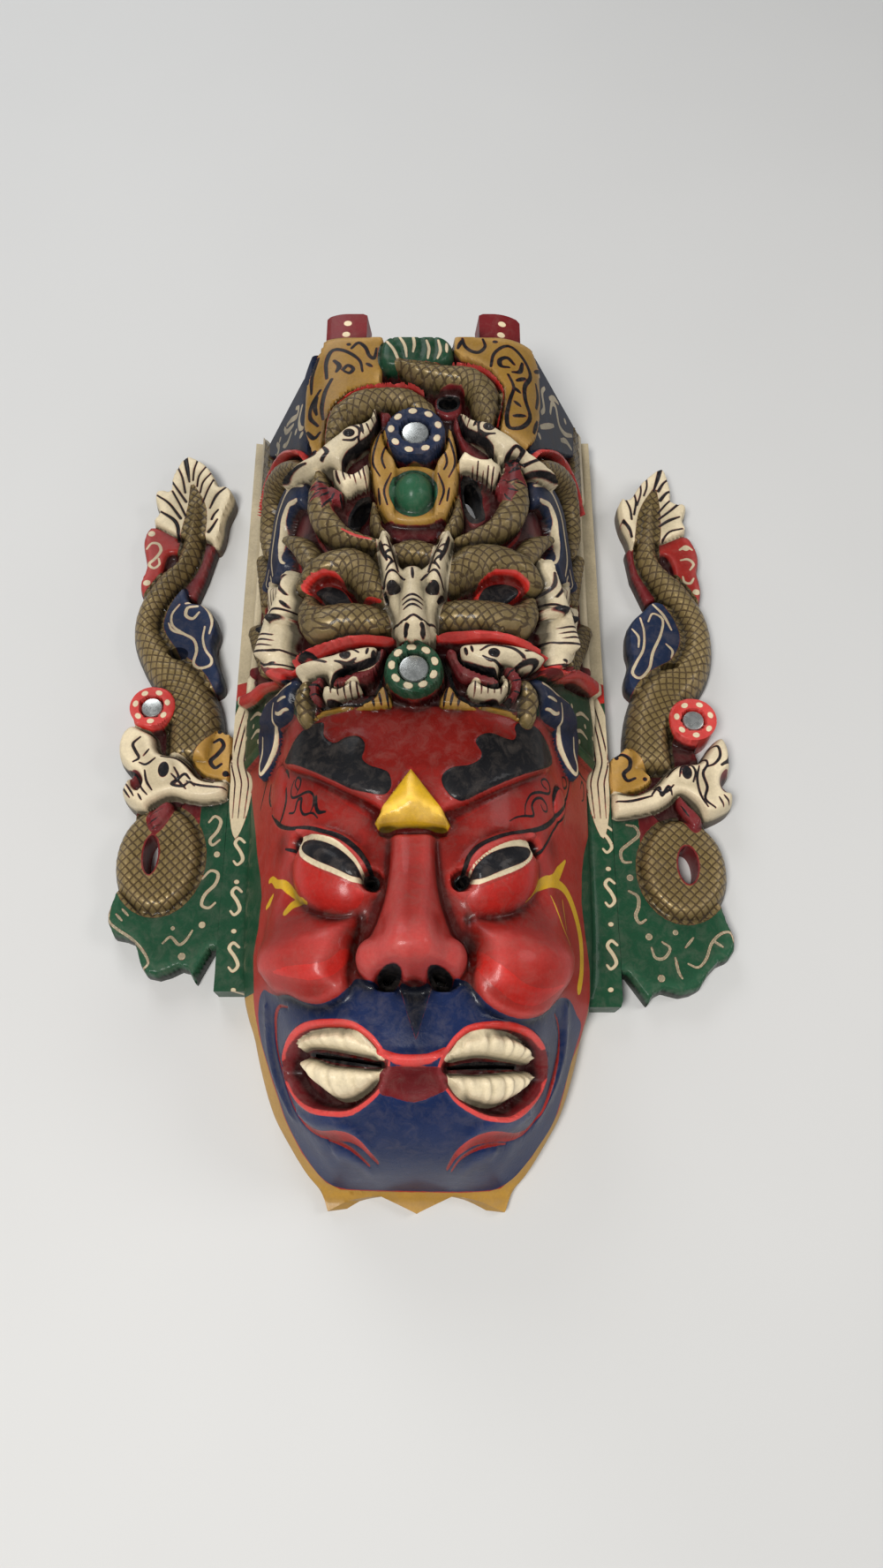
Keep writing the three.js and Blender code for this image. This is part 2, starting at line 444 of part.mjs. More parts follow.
// The seats are cut after the surfaces are made lighter, so that they stay true.
const seat = (made, m) => made.subtract(tube(m.x, m.y, m.r + GAP, m.r + GAP, m.z - MIRROR_T - GAP, m.z + 40, 24));
const shell = seat(maskBody().simplify(1.1), mirrorsAt.crown_upper_mirror);
put("mask_body", seat(shell, mirrorsAt.crown_lower_mirror), paint.wood);
put("left_wing", seat(wing(WINGS.left).simplify(0.7), mirrorsAt.left_wing_mirror), paint.wood);
put("right_wing", seat(wing(WINGS.right).simplify(0.7), mirrorsAt.right_wing_mirror), paint.wood);
for (const [name, m] of Object.entries(mirrorsAt)) put(name, mirrorSolid(m), paint.glass);

export default group;
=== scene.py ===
# A carved and painted stage mask: a fierce red and blue face under a tall arched crown of twined dragons,
# a flat dragon wing at each side, and four small round mirrors set into their rosettes.
# Metres, +Z up. The mask lies face up on its back rim, with the chin towards -Y.
import math

import bpy
import numpy as np
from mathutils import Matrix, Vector
from mathutils.geometry import delaunay_2d_cdt


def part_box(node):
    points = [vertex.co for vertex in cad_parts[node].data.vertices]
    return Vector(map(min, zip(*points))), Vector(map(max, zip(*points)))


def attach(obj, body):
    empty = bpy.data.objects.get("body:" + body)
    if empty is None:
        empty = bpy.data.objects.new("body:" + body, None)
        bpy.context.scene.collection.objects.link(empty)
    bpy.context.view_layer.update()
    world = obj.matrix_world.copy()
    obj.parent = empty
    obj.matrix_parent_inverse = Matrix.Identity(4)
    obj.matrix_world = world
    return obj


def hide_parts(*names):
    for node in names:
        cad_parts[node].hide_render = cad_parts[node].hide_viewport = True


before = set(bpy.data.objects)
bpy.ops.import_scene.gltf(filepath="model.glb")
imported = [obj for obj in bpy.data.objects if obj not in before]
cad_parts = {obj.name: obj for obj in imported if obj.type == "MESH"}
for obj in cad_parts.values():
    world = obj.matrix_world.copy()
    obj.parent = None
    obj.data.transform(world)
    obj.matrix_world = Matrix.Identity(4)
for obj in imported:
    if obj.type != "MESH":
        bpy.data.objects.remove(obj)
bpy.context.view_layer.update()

# The mask body
# One block of soft wood, carved in deep relief, hollowed from behind and painted by hand.
# Its front is drawn on a flat chart in mm: t runs round the form from the middle line, y up from the chin.
ARC = 128.0
EDGE_X = 91.0
FOOT, JAW_FOOT = 13.0, 6.0
FACE_TO_CROWN, JAW_TO_FLANGE = (188, 204), (70, 80)
FLANGE_LOW_LEFT, FLANGE_LOW_RIGHT = 92, 85
# Cross-sections: half of the flat top, shoulder radius and rise in mm, then the slope's lean in degrees
FACE_SECTION, CROWN_SECTION, SLOPE_LEAN = (14, 44, 70), (34, 20, 72), 64
WALL, WALL_SIDE, RIM = 10.0, 8.0, 12.0
MIDDLE_X, MIDDLE_Y = 1.2, 205.5
HEIGHT_AT = [(0, 5), (8, 6), (11, 15), (16, 33), (24, 49), (40, 66), (60, 76), (85, 80), (140, 82),
    (193, 86), (420, 86)]
WIDTH_AT = [(0, 37), (8, 40), (15, 46), (25, 53), (40, 62), (60, 69), (75, 73), (90, 77), (120, 79),
    (190, 80), (205, 84), (420, 84)]
MIRROR_R, MIRROR_T, MIRROR_SINK = 6.2, 2.0, 1.2
GAP, SEAT_ROOM = 0.3, 0.7
LATTICE = 0.5
COATS = ["red", "scarlet", "crimson", "blue", "navy", "green", "ochre", "yellow", "gold", "cream", "black"]


def smooth(a, b, x):
    k = np.clip((x - a) / (b - a), 0, 1)
    return k * k * (3 - 2 * k)


def monotone(stations):
    """A curve through stations that never overshoots between them."""
    at, value = (np.array(v, float) for v in zip(*stations))
    slope = np.diff(value) / np.diff(at)
    tangent = np.concatenate([[slope[0]], slope[1:], [slope[-1]]])
    for i in range(1, len(at) - 1):
        a, b = slope[i - 1], slope[i]
        tangent[i] = 0 if a * b <= 0 else 2 * a * b / (a + b)

    def curve(x):
        q = np.clip(x, at[0], at[-1])
        i = np.clip(np.searchsorted(at, q, side="right") - 1, 0, len(at) - 2)
        h = at[i + 1] - at[i]
        k = (q - at[i]) / h
        return (value[i] * (1 + 2 * k) * (1 - k) ** 2 + tangent[i] * h * k * (1 - k) ** 2
                + value[i + 1] * k * k * (3 - 2 * k) + tangent[i + 1] * h * k * k * (k - 1))

    return curve


height_at, width_at = monotone(HEIGHT_AT), monotone(WIDTH_AT)


def section(u, flat, radius, rise):
    """Cross-section from the middle to the foot: a flat top, a round shoulder and a straight slope."""
    lean = math.radians(SLOPE_LEAN)
    slope = (rise - radius * (1 - math.cos(lean))) / math.sin(lean)
    s = u * (flat + radius * lean + slope)
    turn, rest = np.clip((s - flat) / radius, 0, lean), np.maximum(0, s - flat - radius * lean)
    wide = flat + radius * math.sin(lean) + slope * math.cos(lean)
    x = (np.minimum(s, flat) + radius * np.sin(turn) + rest * math.cos(lean)) / wide
    return x, 1 - (radius * (1 - np.cos(turn)) + rest * math.sin(lean)) / rise


def body_form(t, y, inset=0.0, drop=0.0, foot=None):
    """A point of the uncarved form: round over the face, trapezium-shaped over the crown."""
    u, k = np.clip(np.abs(t) / ARC, 0, 1), smooth(*FACE_TO_CROWN, y)
    (xf, zf), (xc, zc) = section(u, *FACE_SECTION), section(u, *CROWN_SECTION)
    top = height_at(y) - drop
    edge = JAW_FOOT + (FOOT - JAW_FOOT) * smooth(*JAW_TO_FLANGE, y)
    low = foot if foot is not None else np.minimum(edge, top - 0.1)
    x = (xf + (xc - xf) * k) * (width_at(y) - inset) + np.clip(np.abs(t) - ARC, 0, None)
    return np.sign(t) * x, low + (top - low) * (zf + (zc - zf) * k)


def body_front(t, y, h):
    (xa, za), (xb, zb), (x, z) = body_form(t - 1.5, y), body_form(t + 1.5, y), body_form(t, y)
    length = np.hypot(xb - xa, zb - za) + 1e-9
    return x - (zb - za) / length * h, y, np.maximum(z + (xb - xa) / length * h, 0.5)


def edge_t(y, corner):
    """Where the chart ends at the side: the foot of the jaw, and above it the edge of flange and post."""
    return np.where(y >= corner, ARC + EDGE_X - width_at(y), ARC)


def body_back(t, y, h):
    """The hollow behind the front, and the flat back rim that the mask lies on."""
    side = edge_t(y, np.where(t < 0, FLANGE_LOW_LEFT, FLANGE_LOW_RIGHT))
    reach = np.abs(t) / side
    inner = 1 - RIM / side
    u = np.clip(reach / inner, 0, 1)
    roof = np.clip(np.minimum(WALL, height_at(y) - 4), 0, None)
    x, z = body_form(u * ARC, y, WALL_SIDE, roof, -1.0)
    z = z * smooth(10, 26, y + 0.0 * t) - 1.0
    edge = np.where(side > ARC, EDGE_X, width_at(y))
    rim = np.clip((reach - inner) / (1 - inner), 0, 1)
    x = np.where(reach > inner, (width_at(y) - WALL_SIDE) * (1 - rim) + edge * rim, x)
    return np.sign(t) * x, y, np.where(reach > inner, 0.0, np.maximum(z, 0.0))


# Outlines of carving and brushwork. Each is measured on the chart as the distance inside it.
def spline(points, closed=False, fine=4):
    p = np.array(points, float)
    ends = (p[-1:], p[:2]) if closed else (2 * p[:1] - p[1:2], 2 * p[-1:] - p[-2:-1])
    a = np.vstack([ends[0], p, ends[1]])
    k = (np.arange(fine) / fine)[:, None]
    out = []
    for i in range(len(a) - 3):
        p0, p1, p2, p3 = a[i:i + 4]
        out.append(0.5 * (2 * p1 + (p2 - p0) * k + (2 * p0 - 5 * p1 + 4 * p2 - p3) * k ** 2
                          + (3 * p1 - p0 - 3 * p2 + p3) * k ** 3))
    return np.vstack(out if closed else out + [p[-1:]])


def area(*points):
    return "area", spline(points, True), None


def plain_area(*points):
    return "area", np.array(points, float), None


def oval(x, y, rx, ry=None, turn=0.0):
    return "oval", (x, y, rx, ry or rx, math.radians(turn)), None


def line(points, *widths):
    """A brush or gouge line; widths are half-widths at even stations along it."""
    return "line", spline(points), widths or (0.5,)


def inside_outline(points, X, Y):
    """The distance inside a closed outline, below zero outside it."""
    best, within = np.full(np.shape(X), 1e9), np.zeros(np.shape(X), bool)
    for a, b in zip(points, np.roll(points, -1, 0)):
        ex, ey = b - a
        if ex * ex + ey * ey < 1e-9:
            continue
        k = np.clip(((X - a[0]) * ex + (Y - a[1]) * ey) / (ex * ex + ey * ey), 0, 1)
        best = np.minimum(best, np.hypot(X - a[0] - k * ex, Y - a[1] - k * ey))
        if ey != 0:
            within ^= ((a[1] > Y) != (b[1] > Y)) & (X < ex * (Y - a[1]) / ey + a[0])
    return np.where(within, best, -best)


def inside_oval(x, y, rx, ry, turn, X, Y):
    """The distance inside an oval, and the offsets along its two axes."""
    dx, dy = X - x, Y - y
    a, b = dx * math.cos(turn) + dy * math.sin(turn), dy * math.cos(turn) - dx * math.sin(turn)
    return (1 - np.hypot(a / rx, b / ry)) * min(rx, ry), a, b


class Board:
    """A lattice of heights and coats of paint over a chart."""

    def __init__(self, x0, x1, y0, y1, step, ground):
        self.step, self.x0, self.y0 = step, x0, y0
        columns, rows = np.arange(x0, x1 + step / 2, step), np.arange(y0, y1 + step / 2, step)
        self.X, self.Y = np.meshgrid(columns, rows, indexing="ij")
        self.h = np.zeros_like(self.X)
        self.along, self.across = np.zeros_like(self.X), np.zeros_like(self.X)
        self.coat = {name: np.full_like(self.X, 6.0 if name == ground else -6.0) for name in COATS}
        self.tone = np.zeros_like(self.X)
        self.fine = np.full_like(self.X, -6.0)
        self.dark = np.zeros_like(self.X)

    def measure(self, shape, margin=4.0):
        """The window round a shape and, in it, the distance inside, run and offset along it, and reach."""
        kind, data, widths = shape
        if kind == "oval":
            middle, reach = np.array(data[:2]), max(data[2:4])
            low, high = middle - reach, middle + reach
        else:
            wide = max(widths) if widths else 0
            low, high = data.min(0) - wide, data.max(0) + wide
        at = []
        for k, start in enumerate((self.x0, self.y0)):
            ends = [int(np.clip(round((v - start) / self.step), 0, self.X.shape[k]))
                    for v in (low[k] - margin, high[k] + margin + self.step)]
            at.append(slice(ends[0], max(ends)))
        at = tuple(at)
        X, Y = self.X[at], self.Y[at]
        if X.size == 0:
            return at, X, X, X, X
        if kind == "oval":
            return at, *inside_oval(*data, X, Y), np.full_like(X, min(data[2:4]))
        if kind == "area":
            return at, inside_outline(data, X, Y), X, Y, np.full_like(X, 3.0)
        starts, ends = data[:-1], data[1:]
        lengths = np.hypot(*(ends - starts).T)
        run = np.concatenate([[0], np.cumsum(lengths)])
        stations = np.linspace(0, 1, len(widths))
        best = np.full_like(X, 1e9)
        along, side, width = np.zeros_like(X), np.zeros_like(X), np.zeros_like(X)
        for i, (a, b) in enumerate(zip(starts, ends)):
            ex, ey = b - a
            if ex * ex + ey * ey < 1e-9:
                continue
            k = np.clip(((X - a[0]) * ex + (Y - a[1]) * ey) / (ex * ex + ey * ey), 0, 1)
            dx, dy = X - a[0] - k * ex, Y - a[1] - k * ey
            d = np.hypot(dx, dy)
            l = run[i] + k * lengths[i]
            w = np.interp(l / run[-1], stations, widths) if len(widths) > 1 else widths[0]
            nearer = d - w < best
            best = np.where(nearer, d - w, best)
            along = np.where(nearer, l, along)
            side = np.where(nearer, np.sign(ex * dy - ey * dx) * d, side)
            width = np.where(nearer, w, width)
        return at, -best, along, side, width

    def lift(self, shape, high, soft=2.0, how="max"):
        """Raises wood: a plate with a soft edge, or a round when soft is None; high may change along it."""
        at, d, along, side, reach = self.measure(shape, 2.0)
        if d.size == 0:
            return self
        if isinstance(high, tuple):
            high = np.interp(along / max(along.max(), 1e-6), np.linspace(0, 1, len(high)), high)
        if soft is None:
            k = np.sqrt(np.clip(1 - (1 - np.clip(d / np.maximum(reach, 0.1), 0, 1)) ** 2, 0, 1)) * (d > 0)
        elif soft < 0:
            k = np.sqrt(np.clip(1 - (1 - np.clip(d / -soft, 0, 1)) ** 2, 0, 1)) * (d > 0)
        else:
            k = smooth(-soft / 2, soft / 2, d)
        h = self.h[at]
        if how == "max":
            h = np.where(k > 0, np.maximum(h, high * k), h)
        elif how == "add":
            h = h + high * k
        elif how == "set":
            h = h * (1 - k) + high * k
        self.h[at] = h
        return self

    def cut(self, shape, deep, soft=2.0):
        return self.lift(shape, -deep, soft, "add")

    def paint(self, shape, coat, grow=0.0, fine=None, tone=None):
        at, d, along, side, reach = self.measure(shape)
        if d.size == 0:
            return self
        d = d + grow
        for name in COATS:
            s = self.coat[name][at]
            self.coat[name][at] = np.maximum(s, d) if name == coat else np.minimum(s, -d)
        if coat == "gold":
            self.along[at] = np.where(d > -0.3, along, self.along[at])
            self.across[at] = np.where(d > -0.3, side, self.across[at])
        if fine if fine is not None else shape[0] == "line" and max(shape[2]) < 1.6:
            self.fine[at] = np.maximum(self.fine[at], d)
        if tone is not None:
            self.tone[at] = np.where(d > 0, tone, self.tone[at])
        return self

    def glaze_and_shade(self, shape, strength):
        """A soft dark patch over the paint: dark glazing in some places, painted shade in others."""
        _, a, b = inside_oval(*shape[1], self.X, self.Y)
        rx, ry = shape[1][2:4]
        self.dark += strength * np.exp(-1.6 * ((a / rx) ** 2 + (b / ry) ** 2))
        return self

    def carve(self, shape, high, coat, soft=2.0, how="max"):
        return self.lift(shape, high, soft, how).paint(shape, coat)

    def strokes(self, coat, *lines, width=0.5):
        for points in lines:
            self.paint(line(points, width * 0.7, width, width, width * 0.6), coat)
        return self

    def dots(self, coat, radius, *places):
        for x, y in places:
            self.paint(oval(x, y, radius, radius * 0.85), coat, fine=True)
        return self

    def engrave(self, deep, width, *lines):
        for points in lines:
            self.cut(line(points, width * 0.5, width, width, width * 0.4), deep, width * 1.6)
        return self


def blurred(field, radius, step):
    n = max(1, int(radius / step))
    out = field
    for axis in (0, 1):
        for _ in range(2):
            pad = [(n, n) if a == axis else (0, 0) for a in (0, 1)]
            run = np.cumsum(np.pad(out, pad, mode="edge"), axis=axis)
            first = np.take(run, [0], axis=axis) * 0
            run = np.concatenate([first, run], axis=axis)
            size = out.shape[axis]
            hi = np.take(run, np.arange(2 * n + 1, size + 2 * n + 1), axis=axis)
            lo = np.take(run, np.arange(0, size), axis=axis)
            out = (hi - lo) / (2 * n + 1)
    return out


SCALE_PITCH = 4.6
# How wide in mm the narrow and the broad hollows are that hold old dirt and painted shade
CREVICE, DELL = 2.2, 6


def scale_pillows(board, high=0.7):
    """Each lozenge of the scales stands a little proud of the cuts round it."""
    a = (board.along + board.across) / SCALE_PITCH
    b = (board.along - board.across) / SCALE_PITCH
    near = np.minimum(np.abs(a - np.round(a)), np.abs(b - np.round(b))) * 2
    on = smooth(0.0, 1.0, board.coat["gold"])
    board.h = board.h + high * on * (np.sqrt(np.clip(near, 0, 1)) - 0.8)


def carved_mesh(name, board, inside, front, back, fine_reach=1.0, detail=0.22):
    """A closed shell: a front, finer where there is carving or brushwork, a plain back and an edge."""
    X, Y, step, n = board.X, board.Y, board.step, board.X.shape
    edge = inside(X, Y)
    scale_pillows(board)
    # How far each point lies below its surroundings: darkened there as painted shade, highlighted on high
    # edges
    hollow = np.clip(blurred(board.h, CREVICE, step) - board.h, -3, 3)
    hollow = hollow + 0.5 * np.clip(blurred(board.h, DELL, step) - board.h, -4, 4)
    near = np.max([board.coat[c] for c in COATS], axis=0)

    def bend(k):
        h = np.pad(board.h, k, mode="edge")
        across, along = h[2 * k:, k:-k] + h[:-2 * k, k:-k], h[k:-k, 2 * k:] + h[k:-k, :-2 * k]
        return np.maximum(np.abs(across - board.h * 2), np.abs(along - board.h * 2))

    i, j = np.meshgrid(np.arange(n[0]), np.arange(n[1]), indexing="ij")

    def every(k):
        return (i % k == 0) & (j % k == 0)

    rough = [blurred(bend(k), k * step, step) for k in (2, 4)]
    take = every(8)
    take |= every(4) & ((near < 2.2) | (rough[1] > detail * 1.2) | (edge < 6))
    take |= every(2) & ((near < 0.7) | (rough[0] > detail * 1.15) | (np.abs(edge) < 1.6))
    take |= (np.abs(board.fine) < fine_reach) & (near < fine_reach)
    take &= edge > -step
    x, y = X[take], Y[take]
    e = inside(x, y)
    gx = (inside(x + 0.1, y) - inside(x - 0.1, y)) / 0.2
    gy = (inside(x, y + 0.1) - inside(x, y - 0.1)) / 0.2
    size = np.hypot(gx, gy) + 1e-9
    snap = np.abs(e) < step * 1.05
    x, y = np.where(snap, x - e * gx / size ** 2, x), np.where(snap, y - e * gy / size ** 2, y)
    keep = snap | (e > 0)
    x, y = x[keep], y[keep]
    _, only = np.unique(np.round(np.stack([x, y], 1) / 0.2).astype(int), axis=0, return_index=True)
    x, y = x[only], y[only]

    def triangles(points, edges=()):
        made = delaunay_2d_cdt([Vector(p) for p in points], [tuple(map(int, e)) for e in edges], [], 0, 1e-5)
        spots = np.array([tuple(v) for v in made[0]])
        faces = np.array([f for f in made[2] if len(f) == 3])
        middle = spots[faces].mean(1)
        faces = faces[inside(middle[:, 0], middle[:, 1]) > 0.02]
        p, q, r = spots[faces[:, 0]], spots[faces[:, 1]], spots[faces[:, 2]]
        turn = (q[:, 0] - p[:, 0]) * (r[:, 1] - p[:, 1]) - (q[:, 1] - p[:, 1]) * (r[:, 0] - p[:, 0])
        faces = np.where((turn < 0)[:, None], faces[:, ::-1], faces)
        return spots, faces[np.abs(turn) > 1e-7]

    spots, faces = triangles(np.stack([x, y], 1))
    pairs = np.vstack([faces[:, [0, 1]], faces[:, [1, 2]], faces[:, [2, 0]]])
    known = set(map(tuple, pairs.tolist()))
    rim = np.array([p for p in known if (p[1], p[0]) not in known])
    used = np.unique(faces)
    renumber = np.full(len(spots), -1)
    renumber[used] = np.arange(len(used))
    spots, faces, rim = spots[used], renumber[faces], renumber[rim]
    loop = np.unique(rim)
    coarse = every(12) & (edge > 4)
    inner = np.stack([X[coarse], Y[coarse]], 1)
    place = np.full(len(spots), -1)
    place[loop] = np.arange(len(loop))
    back_spots, back_faces = triangles(np.vstack([spots[loop], inner]), place[rim])

    def sample(field, p):
        u, v = (p[:, 0] - board.x0) / step, (p[:, 1] - board.y0) / step
        a, b = np.clip(u.astype(int), 0, n[0] - 2), np.clip(v.astype(int), 0, n[1] - 2)
        u, v = np.clip(u - a, 0, 1), np.clip(v - b, 0, 1)
        return ((field[a, b] * (1 - u) + field[a + 1, b] * u) * (1 - v)
                + (field[a, b + 1] * (1 - u) + field[a + 1, b + 1] * u) * v)

    def placed(shape, p):
        q = np.stack(shape(p[:, 0], p[:, 1], sample(board.h, p)), 1)
        return (q - np.array([MIDDLE_X, MIDDLE_Y, 0])) / 1000

    count = len(spots)
    chart = np.vstack([spots, back_spots])
    vertices = np.vstack([placed(front, spots), placed(back, back_spots)])
    wall = np.vstack([np.stack([rim[:, 1], rim[:, 0], count + place[rim[:, 0]]], 1),
                      np.stack([rim[:, 1], count + place[rim[:, 0]], count + place[rim[:, 1]]], 1)])
    solid = np.vstack([faces, wall, back_faces[:, ::-1] + count])
    mesh = bpy.data.meshes.new(name)
    mesh.vertices.add(len(vertices))
    mesh.vertices.foreach_set("co", vertices.ravel())
    mesh.loops.add(3 * len(solid))
    mesh.loops.foreach_set("vertex_index", solid.ravel().astype(np.int32))
    mesh.polygons.add(len(solid))
    mesh.polygons.foreach_set("loop_start", np.arange(0, 3 * len(solid), 3, dtype=np.int32))
    sheets = np.repeat([0, 0, 1], [len(faces), len(wall), len(back_faces)])
    mesh.polygons.foreach_set("material_index", sheets.astype(np.int32))
    mesh.update(calc_edges=True)
    fields = {c: board.coat[c] for c in COATS}
    fields.update(along=board.along, across=board.across, tone=board.tone, dark=board.dark, hollow=hollow)
    for key, field in fields.items():
        values = sample(field, chart)
        layer = mesh.attributes.new("paint_" + key, "FLOAT", "POINT")
        layer.data.foreach_set("value", values.astype(np.float32))
    mesh.shade_smooth()
    mesh.set_sharp_from_angle(angle=math.radians(58))
    piece = bpy.data.objects.new(name, mesh)
    bpy.context.scene.collection.objects.link(piece)
    return piece

# Carving and paint of the face
body = Board(-142, 142, -2, 414, LATTICE, "red")
carve, lift, cut, paint, strokes, dots = body.carve, body.lift, body.cut, body.paint, body.strokes, body.dots


def paired(*points):
    """Points drawn for the right, moved to the side s that is being carved."""
    return [(s * x, y) for x, y in points]


def blend(a, b, reach):
    """The higher of two surfaces, rounded where they meet."""
    k = np.clip(0.5 + (a - b) / (2 * reach), 0, 1)
    return b + (a - b) * k + reach * k * (1 - k)


def mound(x, y, rx, ry, high, turn=0.0, power=0.5):
    """A round height over an oval of the chart."""
    _, a, b = inside_oval(x, y, rx, ry, math.radians(turn), body.X, body.Y)
    return high * np.clip(1 - ((a / rx) ** 2 + (b / ry) ** 2), 0, 1) ** power


def within(shape, low, high):
    """0 to 1 across a band of distances inside a shape."""
    at, d, *_ = body.measure(shape, max(-low, 0) + 1)
    full = np.zeros_like(body.X)
    full[at] = smooth(low, high, d)
    return full


# Broad forms first: muzzle, overhanging cheeks, eye sockets, brow ridge and nose
t, y = body.X, body.Y
face = mound(0, 44, 100, 44, 6.5, power=1.2)
CHEEKS = [
    (-1, area((-23.5, 104), (-25, 94), (-27.5, 87), (-29, 79.5), (-32, 76.6), (-40, 74.4), (-49.5, 76),
     (-60, 80), (-72, 82), (-84, 85), (-94, 88), (-106, 96), (-112, 112), (-104, 128), (-88, 138),
     (-64, 134), (-48, 122), (-34, 110), (-26, 108))),
    (1, area((22, 104), (24, 92), (25, 84), (27.4, 77.6), (32, 73), (40, 70), (49, 69.6), (61, 72.6),
     (72, 78), (84, 82.6), (97, 84), (110, 92), (114, 110), (106, 126), (88, 136), (64, 132), (47, 120),
     (34, 109), (26, 106))),
]
for s, cheek in CHEEKS:
    swell = (1 - 0.8 * smooth(88, 122, y)) * (1 - 0.85 * smooth(62, 90, np.abs(t)))
    lip = within(cheek, -1.6, 1.6) * 6.0 + within(cheek, 0.5, 10) * 4.5
    face = blend(face, face * (1 - within(cheek, -1, 5)) + lip * swell + 1.5 * within(cheek, 0, 20), 0.6)
    face = face + mound(s * 56, 102, 32, 25, 3.0, power=1.4) - mound(s * 50, 110, 27, 14, 3.2, s * -14, 1.0)
    socket = area(*paired((58, 176), (40, 166), (24, 157), (14, 151), (12.5, 142), (12, 128), (17, 116),
        (28, 107), (44, 111), (57, 121), (68, 136), (73, 150), (66, 162)))
    face = face - 6.5 * within(socket, -3, 6)
    face = face - 4.0 * within(line(paired((19, 152), (14.5, 140), (14, 128), (19, 117)), 3, 5, 5, 3), -1, 4)
    face = blend(face, -0.8 + mound(s * 37, 126, 23, 17, 9.6, s * 30, 0.62), 1.6)
forehead = area((-72, 184), (-65, 178), (-54, 172.4), (-43, 167), (-30, 159.5), (-20, 154), (-15, 149.5),
    (-15.5, 145), (-2, 143.6), (13, 144), (13, 149), (20, 152.5), (30, 158), (44, 165.6), (58, 173),
    (69, 179), (77, 186), (80, 196), (-78, 196))
ridge_high = 4.0 + 4.0 * smooth(192, 162, y) - 3.5 * smooth(50, 76, np.abs(t))
face = face * (1 - within(forehead, -1.2, 1.2)) + ridge_high * within(forehead, -1.4, 1.2)
NOSE = [(150, 9.5, 3), (144, 10, 6), (136, 10, 8.5), (124, 10.8, 13), (114, 12.5, 18.5), (104, 15.8, 25.5),
    (97, 19, 30.5), (91, 21.4, 32.5), (86, 21.6, 30), (83, 19, 23), (81, 16, 12), (79, 14, 0)]
nose_wide, nose_high = (monotone([(n[0], n[k]) for n in reversed(NOSE)]) for k in (1, 2))
across_nose = np.clip(np.abs(t + 1) / nose_wide(y), 0, 1)
bulb = 1 - 0.2 * smooth(0.3, 0.8, across_nose) * smooth(120, 98, y)
roundness = 3.0 + 0.8 * smooth(112, 138, y)
nose = nose_high(y) * bulb * (1 - across_nose ** roundness) ** 0.7 * (y > 79) * (y < 150)
for s in (-1, 1):
    nose = blend(nose, mound(-1 + s * 15.4, 89.6, 8.0, 9.0, 19.5), 4)
face = blend(nose, face, 2.5)
for s in (-1, 1):
    wing_crease = line([(-1 + s * 10, 104), (-1 + s * 10.5, 97), (-1 + s * 10, 92)], 1, 2.0, 1)
    face = face - 1.2 * within(wing_crease, -1.5, 2.2)
    face = face - 2.6 * within(line([(s * 22.5, 107), (s * 24.6, 98), (s * 25, 88)], 1.6, 2.6, 1.8), -1.6, 3)
    # The folds that curl in under each corner of the mouth
    for high, low, full, widths, points in [
        (2.4, -1.6, 3.2, (1.5, 3.2, 3.4, 2),
         paired((74, 37.5), (60, 33.4), (46, 31.6), (35, 28.6), (28, 23))),
        (2.2, -1.6, 3, (2, 3, 2), paired((52, 22), (42, 20.4), (33, 16))),
        (1.8, -1.8, 3, (1.5, 3.2, 3.2, 2), paired((92, 80), (99, 66), (98, 52), (90, 38))),
    ]:
        face = face + high * within(line(points, *widths), low, full)
body.h = blurred(np.where(y < 197, face, 0), 0.9, LATTICE)


def facets(points, slopes, base, top):
    """A low pyramid: every side of the outline rises at its own slope."""
    p = np.array(points, float)
    p = p if np.sum(np.cross(p, np.roll(p, -1, 0))) > 0 else p[::-1]
    high = np.full_like(body.X, top)
    for (a, b), slope in zip(zip(p, np.roll(p, -1, 0)), slopes):
        e = (b - a) / np.hypot(*(b - a))
        high = np.minimum(high, slope * (e[0] * (body.Y - a[1]) - e[1] * (body.X - a[0])))
    body.h = np.where(high > 0, body.h + base * smooth(0, 0.8, high) + high, body.h)


# Green flanges and side slopes, and the gold rim and chin plate
paint(plain_area((-150, 88), (-107, 88), (-106, 104), (-98, 114), (-96, 128), (-100, 138), (-107, 150),
    (-113, 164), (-121, 180), (-128, 200), (-150, 200)), "green")
paint(plain_area((150, 82), (122, 82), (119, 100), (112, 114), (108, 128), (110, 142), (114, 152),
    (122, 163), (127, 174), (128, 200), (150, 200)), "green")
paint(plain_area((-150, -10), (-150, 88), (-108, 88), (-114, 72), (-110, 60), (-105, 44), (-107, 24),
    (-98, 12), (-84, 9.5), (-40, 8.8), (0, 8.4), (40, 8.2), (80, 8.8), (98, 10), (112, 22), (117, 40),
    (115, 60), (123, 72), (124, 84), (150, 84), (150, -10)), "ochre", tone=0.35)
# Blue muzzle
paint(area((-101, 84), (-92, 87), (-84, 84.5), (-72, 81.5), (-60, 80), (-49.5, 76), (-40, 74.4), (-32, 76.6),
    (-28, 80), (-24.6, 83.4), (-18, 81.5), (-8, 81), (0, 80), (9, 81.4), (18, 82.6), (23, 82), (27, 77.6),
    (32, 73), (40, 70), (49, 69.6), (61, 72.6), (72, 78), (84, 82.6), (96, 83), (108, 79), (119, 75),
    (116, 62), (115, 45), (116, 32), (108, 18), (96, 10.5), (70, 9), (30, 8.6), (0, 8.8), (-40, 9.2),
    (-80, 10), (-97, 13), (-105, 26), (-104, 45), (-109, 60), (-112, 72)), "blue")
